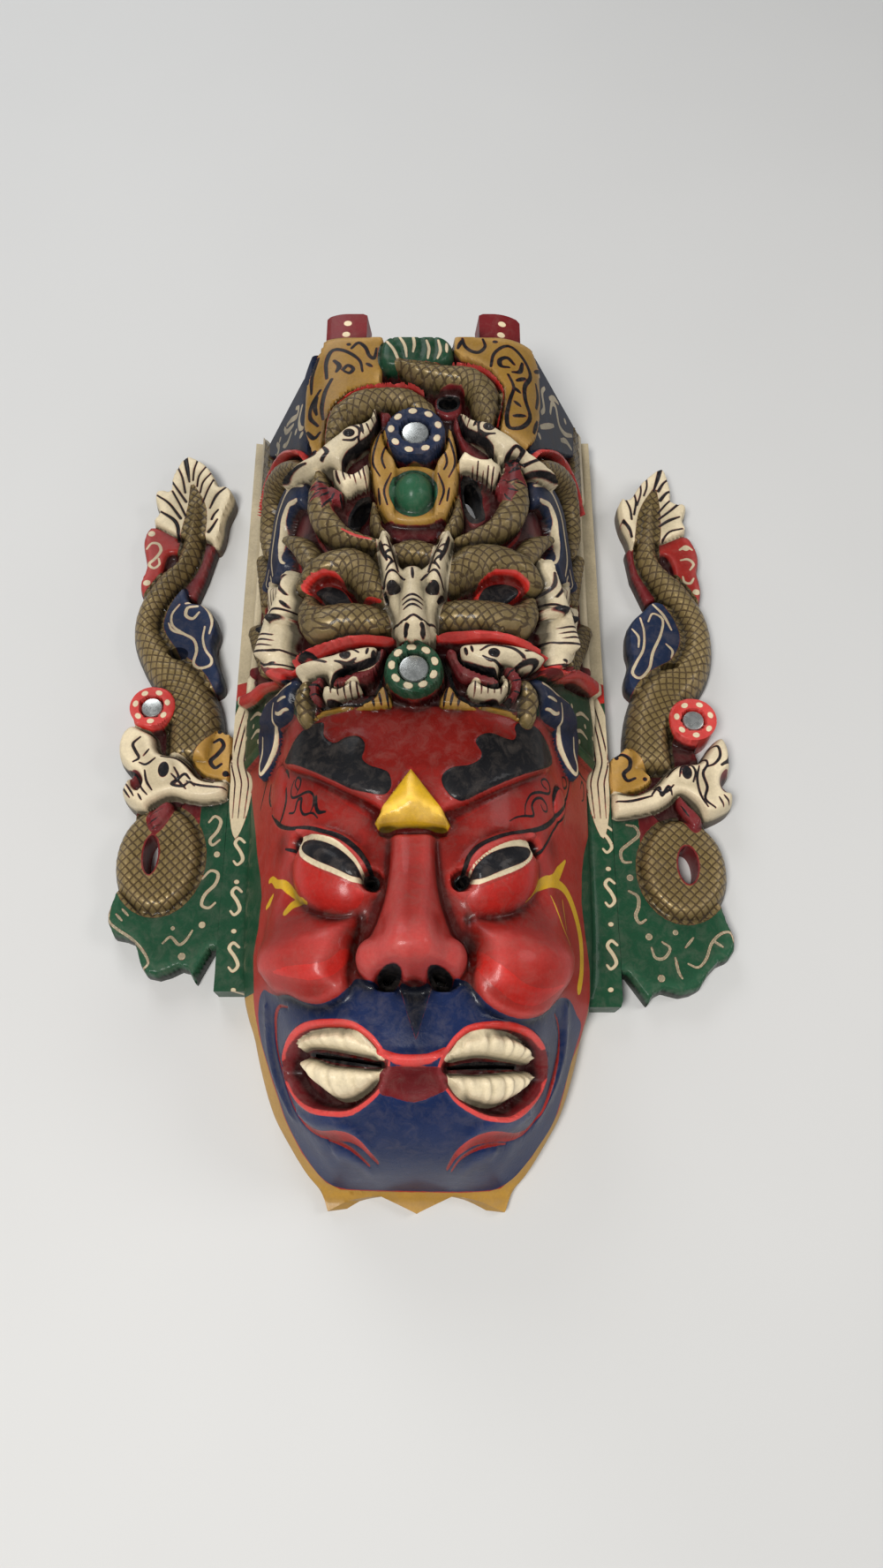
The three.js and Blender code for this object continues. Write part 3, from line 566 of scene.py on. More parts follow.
# Darker glazing rubbed into the paint over the forehead, the nose bridge and the philtrum
body.glaze_and_shade(oval(-2, 180, 62, 20), 1.9).glaze_and_shade(oval(-1, 120, 10, 26), 0.6).glaze_and_shade(oval(1, 72, 6, 16), 1.2)
# Glazing as painted shade: muzzle sides, cheeks, sockets, under brows and lobes, beside the nose, eye
# corners
for s in (-1, 1):
    for cx, cy, rx, ry, turn, strength in [
        (88, 58, 15, 24, 0, 0.55), (48, 108, 24, 13, -14, 0.7), (17, 138, 8, 22, 0, 0.8),
        (44, 154, 26, 9, 32, 0.45), (25, 99, 6, 12, 0, 0.95), (70, 144, 9, 7, 0, 0.9),
        (44, 78, 20, 5, 0, 0.4),
    ]:
        body.glaze_and_shade(oval(s * cx, cy, rx, ry, s * turn), strength)

# The mouth: two open corners with red rims round carved teeth, joined by a red lip
MOUTHS = [
    (-1, [(-81.5, 53), (-79, 58), (-74.5, 60.6), (-63, 65), (-51, 67.5), (-37, 67.4), (-27, 66), (-20, 61.8),
     (-15.5, 57), (-11.5, 51.8), (-13.8, 47.5), (-18.8, 41), (-31, 35.5), (-44.5, 35.4), (-59.5, 38),
     (-72.5, 43.6), (-79.6, 49)],
     [(-66, 59.4), (-63.6, 62.8), (-52.2, 65.4), (-41.2, 65.8), (-31.8, 65.2), (-25.2, 63.8), (-20.8, 60.6),
      (-17, 56.6), (-13.4, 52.8), (-22.2, 54.6), (-31, 56.2), (-44.2, 58.4), (-56, 59.6)],
     [(-65, 57), (-61, 51.6), (-54, 46.6), (-43.5, 41), (-35, 39.4), (-27, 40.8), (-20.6, 43.6), (-16.2, 47),
      (-13.2, 50.6), (-20.8, 50.8), (-30, 51.6), (-42, 53), (-54, 56)],
     [(-62, 58.4), (-50, 56.8), (-36, 54.4), (-24, 52.8), (-14.6, 52)]),
    (1, [(12.5, 50.6), (16, 56.8), (20.5, 62), (26, 65), (37.5, 66.6), (47.8, 66.4), (58, 64.8),
     (69.2, 61.4), (77, 57.6), (81, 50.4), (77.6, 45), (69.8, 40.4), (57, 35.4), (48.2, 33.3), (35.8, 34),
     (23, 38), (16, 43.5)],
     [(14.6, 52.6), (17.4, 56.4), (20.8, 60.6), (26.4, 64), (33, 65), (46.2, 64.4), (58, 62), (66, 59),
      (73, 56), (64, 54.6), (54, 54.4), (43, 54.6), (34, 55), (26.2, 54.4)],
     [(14.6, 48.8), (17.2, 44.6), (23, 39.8), (34.2, 37.6), (45, 38), (56, 41.2), (64, 45), (72, 50),
      (74, 53), (62, 52), (50, 51), (40, 49.8), (30, 49)],
     [(15.6, 50.8), (24, 51.7), (34, 52.2), (46, 52.8), (60, 53.4)]),
]
for s, rim, upper, lower, slit in MOUTHS:
    body.h = body.h + 1.2 * within(area(*rim), -3, 0.5) - 8.5 * within(area(*rim), -0.2, 4.4)
    paint(area(*rim), "crimson")
    for row in (upper, lower):
        full = np.sqrt(1 - (1 - np.clip(within(area(*row), 0.0, 6.5) * 1.2, 0, 1)) ** 2)
        cusps = 0.55 * np.cos(2 * math.pi * (t + 0.25 * y) / 6.6)
        cusps = cusps + 0.3 * np.cos(2 * math.pi * t / 4.1 + y / 3)
        body.h = body.h + full * (7.4 + cusps * within(area(*row), 0, 3))
        paint(area(*row), "cream")
    paint(line(rim[1:9] if s < 0 else rim[:8], 0.5, 1.0, 1.2, 1.2, 0.8), "scarlet", 0.2)
    paint(line(rim[9:], 0.5, 1.0, 1.0, 0.6), "scarlet")
    # The slit between the teeth, painted black wider than the cut as painted shade
    paint(line(slit, 0.6, 1.6, 1.5, 0.9), "black")
body.h = body.h + 2.4 * within(line([(-15, 53.6), (0, 52.8), (14, 54)], 2.2), -1.4, 2.2)
body.h = body.h - 1.6 * within(oval(0, 45, 13, 4.6), -2, 3)
paint(area((-15, 50), (0, 50.5), (14, 50), (17, 44), (13, 41.5), (0, 38.6), (-12, 40.5), (-17, 42)),
    "crimson", tone=0.1)
paint(line([(-16, 56), (-12, 54.4), (-6, 53), (1, 52.8), (8, 53.6), (14.5, 56)], 1.4, 1.8, 2.0, 2.0, 1.8,
    1.4), "scarlet")
# The philtrum is a dark, flat-bottomed notch that narrows to the lip
NOTCH = [(-6.4, 80.6), (8, 80.6), (5, 71), (1.2, 60), (-3, 70)]
body.h = body.h - 1.0 * within(plain_area(*NOTCH), 0.2, 2.6)
paint(plain_area(*NOTCH), "navy", tone=-0.1)
paint(area((-7, 87), (8, 87), (6.4, 81), (0.8, 79.6), (-5.2, 81)), "red")

# Brush lines round the muzzle, each in a shallow groove
for points, widths in [
    ([(-66, 76.5), (-76, 78), (-84, 75), (-88.5, 68.6), (-89.6, 62), (-88.6, 56), (-86.5, 50), (-84.5, 44),
     (-81.8, 39), (-74.5, 33.8), (-63, 30), (-54, 28.4), (-44, 27.8), (-37, 27), (-31.5, 24.6), (-27.7, 21),
     (-25, 18.6)], (0.3, 0.7, 1.7, 1.1, 0.9, 1.0, 1.4, 1.3, 1.4, 1.8, 1.6, 0.7)),
    ([(-54, 26.6), (-47, 25.6), (-40, 23.6), (-35, 20.6), (-31.2, 17.6)], (0.3, 0.7, 0.8, 0.5)),
    ([(81, 76), (87, 73.6), (92, 69), (95, 61), (94.6, 52), (92, 44), (88, 36.4), (81, 31.4), (73, 29.4),
     (61.5, 28), (47, 27.6), (38, 26.6), (32, 24.6), (26.5, 21.4), (22.8, 16.6)],
     (0.3, 0.8, 1.2, 0.9, 0.9, 1.0, 1.3, 1.6, 1.9, 1.7, 0.8)),
    ([(60, 25.6), (50, 25), (39, 23.5), (30, 20), (26, 15.8)], (0.3, 0.7, 0.7, 0.5)),
]:
    paint(line(points, *widths), "scarlet", fine=True, tone=-0.35).cut(line(points, *widths), 0.9, 2.2)

# Brows, the bright edge under them as a painted highlight, and the faceted golden triangle
BROWS = [
    [(-63.6, 178.7), (-61.6, 182), (-58, 186), (-52.6, 189), (-45.6, 190.6), (-40, 190), (-39.6, 185),
     (-37, 181.4), (-33.6, 179.4), (-29.6, 181.4), (-24.6, 181.6), (-21.6, 178.4), (-21.4, 174.6),
     (-22.2, 171), (-19.4, 167.8), (-15.2, 166.2), (-11.6, 164.4), (-10.2, 159.6), (-12.4, 155.6),
     (-18, 155.6), (-26.3, 158.4), (-34, 163), (-43, 168.4), (-53, 174)],
    [(19, 153), (14.6, 155.2), (11.5, 160), (12, 164), (16, 166.8), (22, 168), (26, 170.6), (27, 174),
     (25, 178.6), (26.8, 182), (31.6, 183.9), (37, 182.6), (41, 182.4), (43, 185), (42.6, 189),
     (45.4, 191.6), (53, 192), (61, 190.4), (67.6, 186.6), (70, 182), (65.2, 178), (55, 172.6), (44, 167),
     (34.2, 161.4), (26, 156.6)],
]
# Painted highlight: bright red along the bevel under each brow
paint(area((-66, 179), (-54, 173), (-43, 167.4), (-34, 162), (-26, 157.4), (-18, 153.6), (-13.6, 150),
    (-15.4, 145.4), (-22, 149), (-30, 154.4), (-42, 162.4), (-54, 170.4)), "scarlet", tone=-0.1)
paint(area((71, 182), (64, 176.4), (54, 171.4), (44, 166), (34, 160.4), (26, 155.6), (19, 152),
    (13.6, 149.4), (15, 144.6), (22, 148.6), (31, 154), (42, 161), (54, 168), (65, 174.6)), "scarlet",
    tone=-0.1)
for points in BROWS:
    carve(area(*points), 0.9, "black", 1.4, "add")
body.h = body.h - 3.0 * within(line([(-14, 142), (-2, 141), (12, 142)], 1.6), -1.0, 1.6)
TRIANGLE = [(-2, 166.5), (-18, 145.6), (-16, 142.2), (14, 142), (15.7, 144.6)]
facets(TRIANGLE, (0.62, 2.0, 0.62, 2.0, 0.62), 0.8, 6.4)
# The triangle painted lighter and its lower facet darker: painted highlight and painted shade
paint(plain_area(*TRIANGLE), "yellow", -0.3, tone=0.5)
paint(plain_area((-16.6, 144.6), (0, 152), (14.4, 144.2), (13.6, 142), (-15.6, 142.2)), "yellow", -0.4,
    tone=-0.35)

# Eyes: a lid edge, a white rim, a long dark pupil and pierced inner corners
EYES = [
    (-1, [(-51.6, 139.6), (-52.6, 143.4), (-47.6, 143.8), (-41.2, 142.2), (-33, 138.8), (-26.6, 133),
     (-22.8, 127.8), (-21.2, 123.4), (-22, 120.6), (-24.8, 120), (-31.6, 123.4), (-39.2, 127.4),
     (-47.6, 133.4)],
     [(-50, 139.8), (-46, 140.8), (-39, 138.8), (-32, 135.2), (-26, 129.8), (-23, 125.4), (-22.6, 122.8),
      (-25.2, 122.4), (-31.5, 125.8), (-39.2, 130), (-46.4, 135)],
     [(-55, 147.4), (-47, 146), (-40.5, 143.8), (-32, 140), (-25, 134.6), (-20.8, 128.6)]),
    (1, [(50.6, 138.4), (49.4, 141), (43.4, 140.2), (36, 137.2), (29.6, 133.2), (24.6, 128.4), (22.6, 124.8),
     (22.8, 121.4), (25.2, 119.2), (29.8, 120.8), (37, 124.2), (43.2, 128), (49, 133.4)],
     [(48.4, 137.2), (41, 136.6), (34.4, 134.4), (28.6, 131), (24.4, 126.4), (23.6, 123.6), (24.8, 121.4),
      (28.2, 122), (35.2, 125.6), (43, 129.8), (47.6, 134)],
     [(54, 145), (46, 143.6), (39, 141.4), (32, 138.2), (26, 133.4), (22.2, 127.6)]),
]
for s, white, pupil, lid in EYES:
    lift(line(lid, 1.4, 2.2, 2.2, 1.4), 1.5, 1.6, "add")
    carve(area(*white), 0.5, "cream", 1.0, "add").paint(area(*pupil), "black")
    body.h = (body.h - 0.5 * within(line([*pupil, pupil[0]], 0.6), -0.6, 0.4)
              + 0.6 * within(area(*pupil), 0.3, 3.5))
for points, widths in [
    ([(-87, 163), (-80, 158), (-72, 153.6), (-62, 150), (-54, 148.4), (-46, 146.2), (-40.5, 144),
     (-32, 140.4), (-25, 135), (-20.5, 129.2), (-18.6, 124.8)], (0.5, 1.2, 0.9, 0.8, 0.9, 1.2, 1.2, 0.9)),
    ([(-66, 142), (-60, 140), (-55, 138)], (0.5, 0.8, 0.5)),
    ([(20.6, 125.4), (22.6, 131.2), (26.5, 135.8), (32, 139), (40, 142.6), (49, 145.6), (59, 149), (67, 153),
     (74, 157.6), (81, 163.4), (89, 169.4), (95, 177), (98, 186)],
     (0.9, 1.1, 0.9, 0.9, 1.2, 1.2, 1.0, 0.8, 0.5)),
    ([(54, 134), (60, 139), (66, 145), (72, 151), (79, 157), (86, 163), (91, 170)],
     (0.5, 0.7, 0.6, 0.8, 0.5)),
]:
    cut(line(points, *widths), 0.4, 1.4).paint(line(points, *widths), "black", fine=True)
# Small hollows at the outer corners of the eyes, painted dark crimson as painted shade
for place in ((-56.4, 141.6, 4.2, 3.4, -30), (55, 139.4, 4.8, 3.6, 25)):
    cut(oval(*place), 4.5, 3).paint(oval(*place), "crimson", tone=-0.8)
# Pierced inner corners, painted black round the small opening as painted shade
for place in ((-18.5, 122, 4.2, 4.2), (20, 122, 4.2, 4.2)):
    cut(oval(*place), 6, 2.4).paint(oval(place[0], place[1], 3.4, 3.3), "black")
# Lines and knobs of the temples
lift(oval(-78, 171, 10.5, 12), 1.6, None, "add").lift(oval(81, 166, 7, 8.5), 1.6, None, "add")
body.engrave(0.9, 0.8, [(-84, 163), (-87, 171), (-83, 180), (-76, 183), (-69, 178)],
    [(74, 161), (73.5, 167), (78, 173.5), (85, 173.5), (87.5, 168)])
for points, width in [
    ([(-57, 165.5), (-59, 168.5), (-57.5, 171), (-55, 169.5), (-55.6, 166.5), (-58, 164)], 0.4),
    ([(-60, 170.5), (-62.3, 167), (-61.5, 163.5), (-57, 162.6), (-50, 163), (-46.6, 160.5), (-46.8, 156),
     (-48.5, 153.5)], 0.45),
    ([(-63.5, 157), (-59, 156.4), (-57, 160.5), (-54, 161), (-54.4, 157), (-52, 153.6), (-47, 153.3),
     (-44, 150.6)], 0.5),
    ([(-45, 160), (-45, 156), (-43.5, 153), (-40, 152.6)], 0.7),
    ([(-90, 178), (-91.5, 172), (-88.5, 168), (-86, 167)], 0.8),
    ([(-67, 169), (-67, 163), (-71, 157.5), (-76, 155)], 0.7),
    ([(-90, 188), (-86, 186), (-82, 189), (-76, 188.3)], 0.7),
    ([(-65, 182), (-63, 179), (-61.5, 182), (-60.5, 178)], 0.5),
    ([(-69, 178), (-66, 176), (-64.5, 173)], 0.6), ([(-106, 171), (-102, 176), (-97, 182), (-93, 185)], 0.5),
    ([(66, 168.3), (63, 169), (61.6, 170.8), (64.5, 172.5), (68, 171.8), (69.6, 169.3), (67.5, 166.8),
     (60, 165.3), (54, 162.8), (50.6, 158), (50, 153.5)], 0.45),
    ([(61, 160), (63, 158), (66, 158.6), (66, 161), (62, 163), (57, 161.6), (54.4, 158), (55.4, 154),
     (50, 152.6), (45, 151), (41.5, 148.8)], 0.45),
    ([(86, 180.5), (88, 176), (92.5, 178.5), (90.5, 181.4), (86, 180.5)], 0.45),
    ([(106, 190.6), (109, 190), (112, 191)], 0.5),
    ([(74, 160), (73.6, 166), (77, 172), (83, 174), (87, 170), (87.6, 164.5)], 0.6),
    ([(113, 184), (115, 188), (117.5, 186), (117, 180), (114, 178)], 0.5),
    ([(95, 194), (105, 192.6), (115, 190.6), (124, 190)], 0.4),
]:
    paint(line(points, width * 0.8, width * 1.4, width * 1.4, width * 0.7), "black")
for points, widths in [
    ([(-85, 132.5), (-80, 132), (-72, 128.2), (-64, 126), (-58, 122), (-52, 117.5), (-46.5, 115)],
     (0.9, 1.6, 1.6, 1.3, 0.5)),
    ([(-58, 113), (-55, 115.6), (-50, 116.4), (-47, 115)], (1.4, 1.6, 0.6)),
    ([(-86, 121), (-80, 122.4), (-76, 124)], (0.8, 1.5, 0.8)),
    ([(48, 116), (54, 122), (62, 127), (70, 129.5), (78, 135), (87, 142)], (0.6, 1.6, 2.0, 2.2, 0.6)),
    ([(56, 122.5), (66, 126.8), (78, 129), (87, 128), (95, 123.5), (102, 116), (105.5, 108), (106.5, 98),
     (105, 90)], (0.8, 1.6, 2.2, 2.6, 2.6)),
    ([(64, 121), (68, 113), (70.5, 104), (71.5, 95), (73, 88.5)], (0.3, 0.5, 0.5)),
    ([(80, 123), (82, 112), (82.4, 101), (80, 91)], (0.3, 0.5, 0.5)),
]:
    paint(line(points, *[1.2 * w for w in widths]), "yellow", fine=True, tone=0.1)
# Painted highlight: bright red along the lower edge of each cheek lobe
paint(line([(-27.6, 92.4), (-32.4, 87), (-38.4, 85), (-48, 86), (-56, 87)], 1.8, 2.6, 2.8, 2.0, 0.4),
    "scarlet", tone=-0.15)
paint(line([(25.4, 91), (31.6, 84.4), (40.6, 78.4), (49, 77), (56, 79), (62, 83)], 2.6, 3.4, 3.4, 2.8, 0.5),
    "scarlet", tone=-0.15)
# Painted highlight: bright red over each eye bag
paint(area((-54, 136), (-47, 132), (-39, 126.4), (-31, 122), (-24.6, 118.6), (-21, 116), (-24, 111),
    (-31.5, 108.8), (-40, 111.4), (-49, 119.6), (-55, 128)), "scarlet", tone=-0.3)
paint(area((53, 134), (45, 128), (37, 123), (30, 119.4), (24.6, 117), (21.6, 114), (25, 108.6), (31, 107),
    (39, 109.4), (48, 115.6), (56, 126)), "scarlet", tone=-0.3)
# Nostrils: deep pits painted black inside as painted shade, each with a small opening cut right through
for x, turn in ((-10.4, 8), (11.4, -8)):
    cut(oval(x, 82.4, 5.8, 3.0, turn), 12, 3).paint(oval(x, 82.4, 5.6, 2.8, turn), "black")
# Running scroll strokes in cream on the green flanges
for s, x, rows, spots in ((-1, -132.5, (101, 127, 151), (92.5, 119.4, 142.7)),
    (1, 137, (102, 131, 157), (92.7, 122.6, 149))):
    for row in rows:
        strokes("cream", [(x + 2.2, row + 11), (x - 0.4, row + 13), (x - 2.2, row + 10.5),
            (x + 0.4, row + 6.5), (x + 1.8, row + 2.6), (x - 0.6, row), (x - 2.4, row + 1.8)], width=0.8)
    dots("cream", 1.2, *[(x - 0.4, spot) for spot in spots])

# Carving and paint of the crown: coils and heads of the dragons stand on a sunk, dark red ground
paint(plain_area((-128, 195), (128, 195), (128, 430), (-128, 430)), "crimson", tone=-0.5)
lift(plain_area((-136, 195), (136, 195), (136, 201), (-136, 201)), 4, 3)


def coil(points, widths, high):
    """A round dragon's body with scales."""
    lift(line(points, *widths), high, None).paint(line(points, *widths), "gold")


def pierced(hollow, deep, hole, coat="crimson"):
    """A hollow sunk between the coils, with black painted at its bottom as painted shade."""
    shape = area(*hollow)
    at, d, *_ = body.measure(shape, 2.0)
    k = smooth(-0.6, 1.4, d)
    body.h[at] = body.h[at] * (1 - k) + deep * k
    paint(shape, coat, 0.5, tone=-0.1).paint(area(*hole), "black")


# Navy side fields with cream drops, posts, green lower bands, gold coils down the slopes
for s in (-1, 1):
    field = plain_area(*paired((50, 326), (66, 342), (82, 352), (96, 360), (108, 368), (121, 370),
        (121, 400), (50, 400)))
    # The navy is darkened, and patched darker over its steep outer slope: painted shade
    carve(field, 4.5, "navy").paint(field, "navy", tone=-0.5).glaze_and_shade(oval(s * 90, 362, 46, 26, s * 30), 1.0)
    carve(plain_area(*paired((106, 352), (124, 346), (124, 392), (112, 392))), 5, "gold")
    paint(plain_area(*paired((118, 250), (150, 240), (150, 398), (118, 398))), "cream", tone=-0.45)
    lift(plain_area(*paired((119, 244), (129, 240), (129, 398), (119, 398))), 3, 3)
    carve(plain_area(*paired((48, 196), (150, 196), (150, 236), (128, 236), (104, 228), (80, 222), (58, 215),
        (48, 212))), 2.5, "green")
    coil(paired((106, 302), (99, 286), (92, 270), (86, 256), (82, 242), (84, 232)), (5, 6.5, 7, 7, 6, 3), 8)
    coil(paired((118, 268), (108, 254), (99, 243), (94, 235)), (5, 6, 5, 3), 6)
    strokes("scarlet", paired((112, 300), (106, 284), (99, 268), (92, 254), (88, 242)), width=1.1)
    # Outer coil of the crown's shoulder, under a red line
    coil(paired((50, 319), (60, 327), (74, 332.6), (88, 334), (97, 325), (99, 312), (95, 300)),
        (2, 5, 7, 8, 7, 6.5, 4), (10, 11, 12, 12, 10, 9, 8))
    carve(line(paired((49, 322), (54.5, 331.5), (68, 341), (82, 346), (98, 344), (110, 332)), 0.8, 1.5, 1.8,
        1.8, 1.6, 0.8), 9, "scarlet", 2)
    # Navy ribbon curling inside it, outlined in cream
    carve(area(*paired((47, 312), (53, 318), (63, 321.6), (75, 321), (83.5, 315), (87.5, 304), (91, 292),
        (94, 280), (84, 272), (70, 272), (64, 279), (70, 288), (71, 297), (66, 303), (58, 303.4), (52, 300),
        (48.6, 304))), 7.5, "navy", -4)
    strokes("cream",
        paired((50, 309), (57, 313.4), (66, 314.4), (75, 309.4), (79, 299.6), (81, 288), (77, 277)),
        paired((53, 303.4), (61, 306.4), (69, 303.6), (72.6, 295), (71, 286), (66, 278)), width=0.9)
    strokes("cream", paired((84, 284), (87.4, 277), (84, 272), (79, 274.6), (81, 279)), width=0.7)
    # Cream mane between the ribbon and the head at the side
    carve(area(*paired((83, 276), (73, 270), (60, 264), (54, 257), (55, 248), (64, 246), (73, 249),
        (79, 257))), 9, "cream", -4)
    for k in range(5):
        strokes("black", paired((56 + 3.6 * k, 249 + 0.5 * k), (60 + 4.0 * k, 256 + 1.6 * k),
            (61 + 4.6 * k, 262 + 2.4 * k)), width=0.42)
    carve(oval(s * 89, 262, 6.5, 4.6, s * 60), 3, "crimson", 3, "set")
    coil(paired((56, 283), (50, 276.5), (46, 269), (43, 262)), (3, 4.8, 5.2, 3.6), 11)
    strokes("scarlet", paired((58, 286), (60.5, 278), (57, 270), (52, 264)), width=1.0)

# The great coils: upper arch and lower roll each side, with a black slit of painted shade in the red slope
# between them
coil([(-13, 240), (-18, 250), (-23.5, 258), (-31, 261.6), (-39, 260), (-46, 254)], (5, 8, 9, 9.4, 8, 5),
    (13, 15, 16, 16, 14, 11))
coil([(11, 250), (17, 258), (26, 262.6), (35, 263), (42, 260.6), (48, 256)], (6, 9, 10.4, 9.4, 8, 5.4),
    (13, 15, 16, 16, 14, 11))
pierced([(-46, 251), (-43.4, 254.6), (-39.4, 256.4), (-35.4, 255.6), (-31.2, 252), (-27.6, 246.6),
    (-25.6, 242.6), (-29, 240.6), (-34.4, 240.8), (-38.2, 243.8), (-41.4, 248)], 4,
    [(-43, 251), (-38.5, 253), (-33, 251), (-29.4, 246.8), (-28, 241.6), (-34.4, 241.2), (-38.6, 244),
     (-41.4, 248.4)], "scarlet")
pierced([(24, 247), (27, 252.6), (32, 256), (37, 256.8), (41.6, 256), (45.6, 252), (42, 247.6), (37, 243.6),
    (29, 243.8)], 4,
    [(26.6, 246.4), (28.6, 251), (32, 253.4), (37, 254.2), (41.6, 253.2), (43, 251), (41, 247.6),
     (36.8, 244.4), (29.4, 244.4)], "scarlet")
coil([(-9, 231), (-21, 233.2), (-31, 233.4), (-38.5, 233), (-44, 240), (-45.4, 247)],
    (6, 9, 9.8, 10.2, 6.4, 2.6), (12, 15, 16, 15, 12, 8))
coil([(7, 235.6), (20, 235.4), (31, 234.6), (38.8, 233.6), (45, 240), (47.4, 247)],
    (8.4, 9.4, 9.6, 10.2, 6.4, 2.6), (12, 15, 16, 15, 12, 8))
paint(line([(-26, 243.6), (-21, 243), (-15.4, 240.4)], 0.8, 1.0, 0.6), "scarlet")
paint(line([(11, 244.4), (15.4, 244.8), (20.6, 246.4), (25, 247.6)], 0.6, 1.2, 1.6, 1.6), "scarlet")
# Narrow coils that wind round the pierced hollows up to the jaws
coil([(-41.6, 309), (-41.8, 300), (-41, 291), (-38, 282.6), (-33, 276.8), (-26, 273.6), (-18, 271)],
    (2.4, 5.2, 6.2, 6.4, 5.6, 4.6, 3.4), 13)
coil([(41, 313), (41.8, 303), (41.4, 294), (38.6, 286), (33, 279.6), (26, 275.8), (18, 272)],
    (2.4, 5.2, 6.2, 6.4, 5.6, 4.6, 3.4), 13)
coil([(-14, 277), (-18.4, 284), (-19.6, 292)], (3.4, 3.6, 1.6), 11.5)
coil([(12, 276), (17, 285), (18.6, 296)], (3.6, 3.8, 1.8), 11.5)
for points in [[(-46.4, 306), (-47.8, 298), (-47, 288), (-44.4, 280), (-40.4, 273)],
    [(45.6, 309), (47.6, 301), (47.4, 290), (44.4, 281.4), (39.6, 275)]]:
    strokes("scarlet", points, width=0.9)
strokes("scarlet", [(-33, 276.6), (-27, 273.4), (-20, 271.4)], width=0.6)
# The two coils that meet over the upper rosette
coil([(-39.8, 323), (-38.2, 334), (-34, 343.5), (-26, 349.5), (-15, 352.8), (-5, 352.4), (3, 348)],
    (1.6, 3.4, 6.6, 8.6, 7.2, 7.2, 5.5), (10, 12, 14, 14.5, 13, 12, 9))

# Ochre shoulders with black scrolls, and the red line along them
carve(plain_area((-44, 392), (-49.5, 375), (-52.5, 366), (-52.5, 345), (-47, 325), (-42, 321), (-41.8, 330),
    (-41, 342), (-38.4, 351), (-33, 358), (-26, 361.6), (-18, 363), (-17.5, 373), (-17.5, 392), (-26, 400),
    (-44, 400)), 6.5, "ochre", 1.6)
carve(plain_area((17, 400), (16, 383), (20, 379), (27, 376), (34, 371), (38.5, 362), (38.5, 350), (37, 336),
    (48, 329), (53, 338), (56, 352), (57.5, 368), (57, 382), (52, 392), (46, 400)), 6.5, "ochre", 1.6)
for points in [
    [(-41.4, 322), (-41, 331), (-40, 341), (-37, 350.4), (-31.4, 357), (-24.8, 360.6), (-16, 362),
     (-5, 362.4), (2, 358)],
    [(16, 374.6), (25, 373.4), (33, 369), (38, 360), (37.6, 350), (36.4, 339)],
]:
    carve(line(points, 0.6, 0.9, 0.9, 0.8, 0.5), 8, "scarlet", 1.5)
strokes("black", [(-42, 367), (-42.5, 377), (-40, 383.5), (-34, 381.5), (-28.5, 376.5), (-27, 370)],
    [(-39.4, 377), (-37.4, 373.5), (-38.4, 370)],
    [(-36, 371), (-34, 373.6), (-31.4, 371.6), (-33, 369), (-35.4, 370)],
    [(-40, 366), (-42.4, 359), (-43.4, 350), (-42.6, 343)], [(-46, 381), (-48.6, 371), (-48.4, 361)],
    [(-44.4, 361), (-48, 354), (-48.4, 347), (-44.6, 340)], [(-49.4, 339), (-46, 333.6), (-43.6, 336)],
    [(-32.6, 384), (-29.4, 387.4), (-26, 384.6), (-24, 379.6), (-21.6, 378), (-20.6, 384)],
    [(-25, 374.6), (-22.6, 373)], [(-45.6, 357), (-46.4, 352), (-45.4, 347)],
    [(20.6, 390), (21.6, 385.6), (24.6, 382.4), (28.4, 381.6), (31.4, 385), (30.4, 389.6)],
    [(18.4, 384), (20, 388.6)],
    [(34, 373), (35.6, 381), (41, 386.4), (47, 381.6), (50.4, 373.4), (47.4, 365), (47.4, 357), (49.4, 348),
     (45.6, 340), (40.6, 337.6), (39.6, 344), (41, 354), (42.6, 362), (40.6, 369)],
    [(43, 376), (40.4, 379), (37.6, 377), (38, 373.4), (41, 373.4)],
    [(46.6, 378.4), (45.4, 372.6), (42.4, 371)], [(44, 366.6), (47.6, 370)], [(43.4, 361.6), (45, 360)],
    [(43, 353.6), (45, 352)], [(42.4, 345), (47, 347.4)], [(51, 340), (53.4, 348.6)],
    [(53, 378), (56.6, 382)], [(53, 356), (54.4, 364), (53.4, 371)], width=0.95)
dots("black", 1.1, (-34, 386.4), (36, 388), (-45.6, 325.6))

# Green leaf at the top, with cream veins
carve(area((-18.5, 372), (-19.5, 384), (-14, 391), (2, 393), (12, 390), (16.5, 384), (15, 375), (4, 368),
    (-8, 369)), 9.5, "green", -4)
strokes("cream", [(-16, 386), (-12, 380), (-9, 371)], [(-3.4, 390), (-2.4, 384), (-3, 379)],
    [(3.4, 386), (4.6, 381), (4, 375)], [(9, 386), (10, 380), (8.6, 375)],
    [(-10, 389), (-7, 383), (-6, 376)], [(13, 384), (13, 379)], width=0.7)
body.engrave(0.7, 0.9, [(-13, 388), (-9, 381), (-7, 372)], [(0, 390), (1, 383), (0, 375)],
    [(7, 388), (7.4, 381), (6, 373)])
coil([(-9, 372.6), (-3, 369.4), (5, 367), (14, 365.4), (23, 363.6), (29.8, 357), (31, 348), (32, 339)],
    (2.6, 5, 6.4, 7.2, 8.2, 8, 6.5, 3.6), (11, 12.4, 13, 13.4, 14, 14, 13, 11))
pierced([(7.2, 349.6), (7.4, 357.4), (12, 359.6), (19.6, 358.4), (21, 353), (18.4, 346.6), (12.4, 345.8)], 3,
    [(8.6, 351), (8.6, 356.6), (14, 358.2), (19, 357), (18.6, 351), (14, 348.6), (10.6, 349.4)])

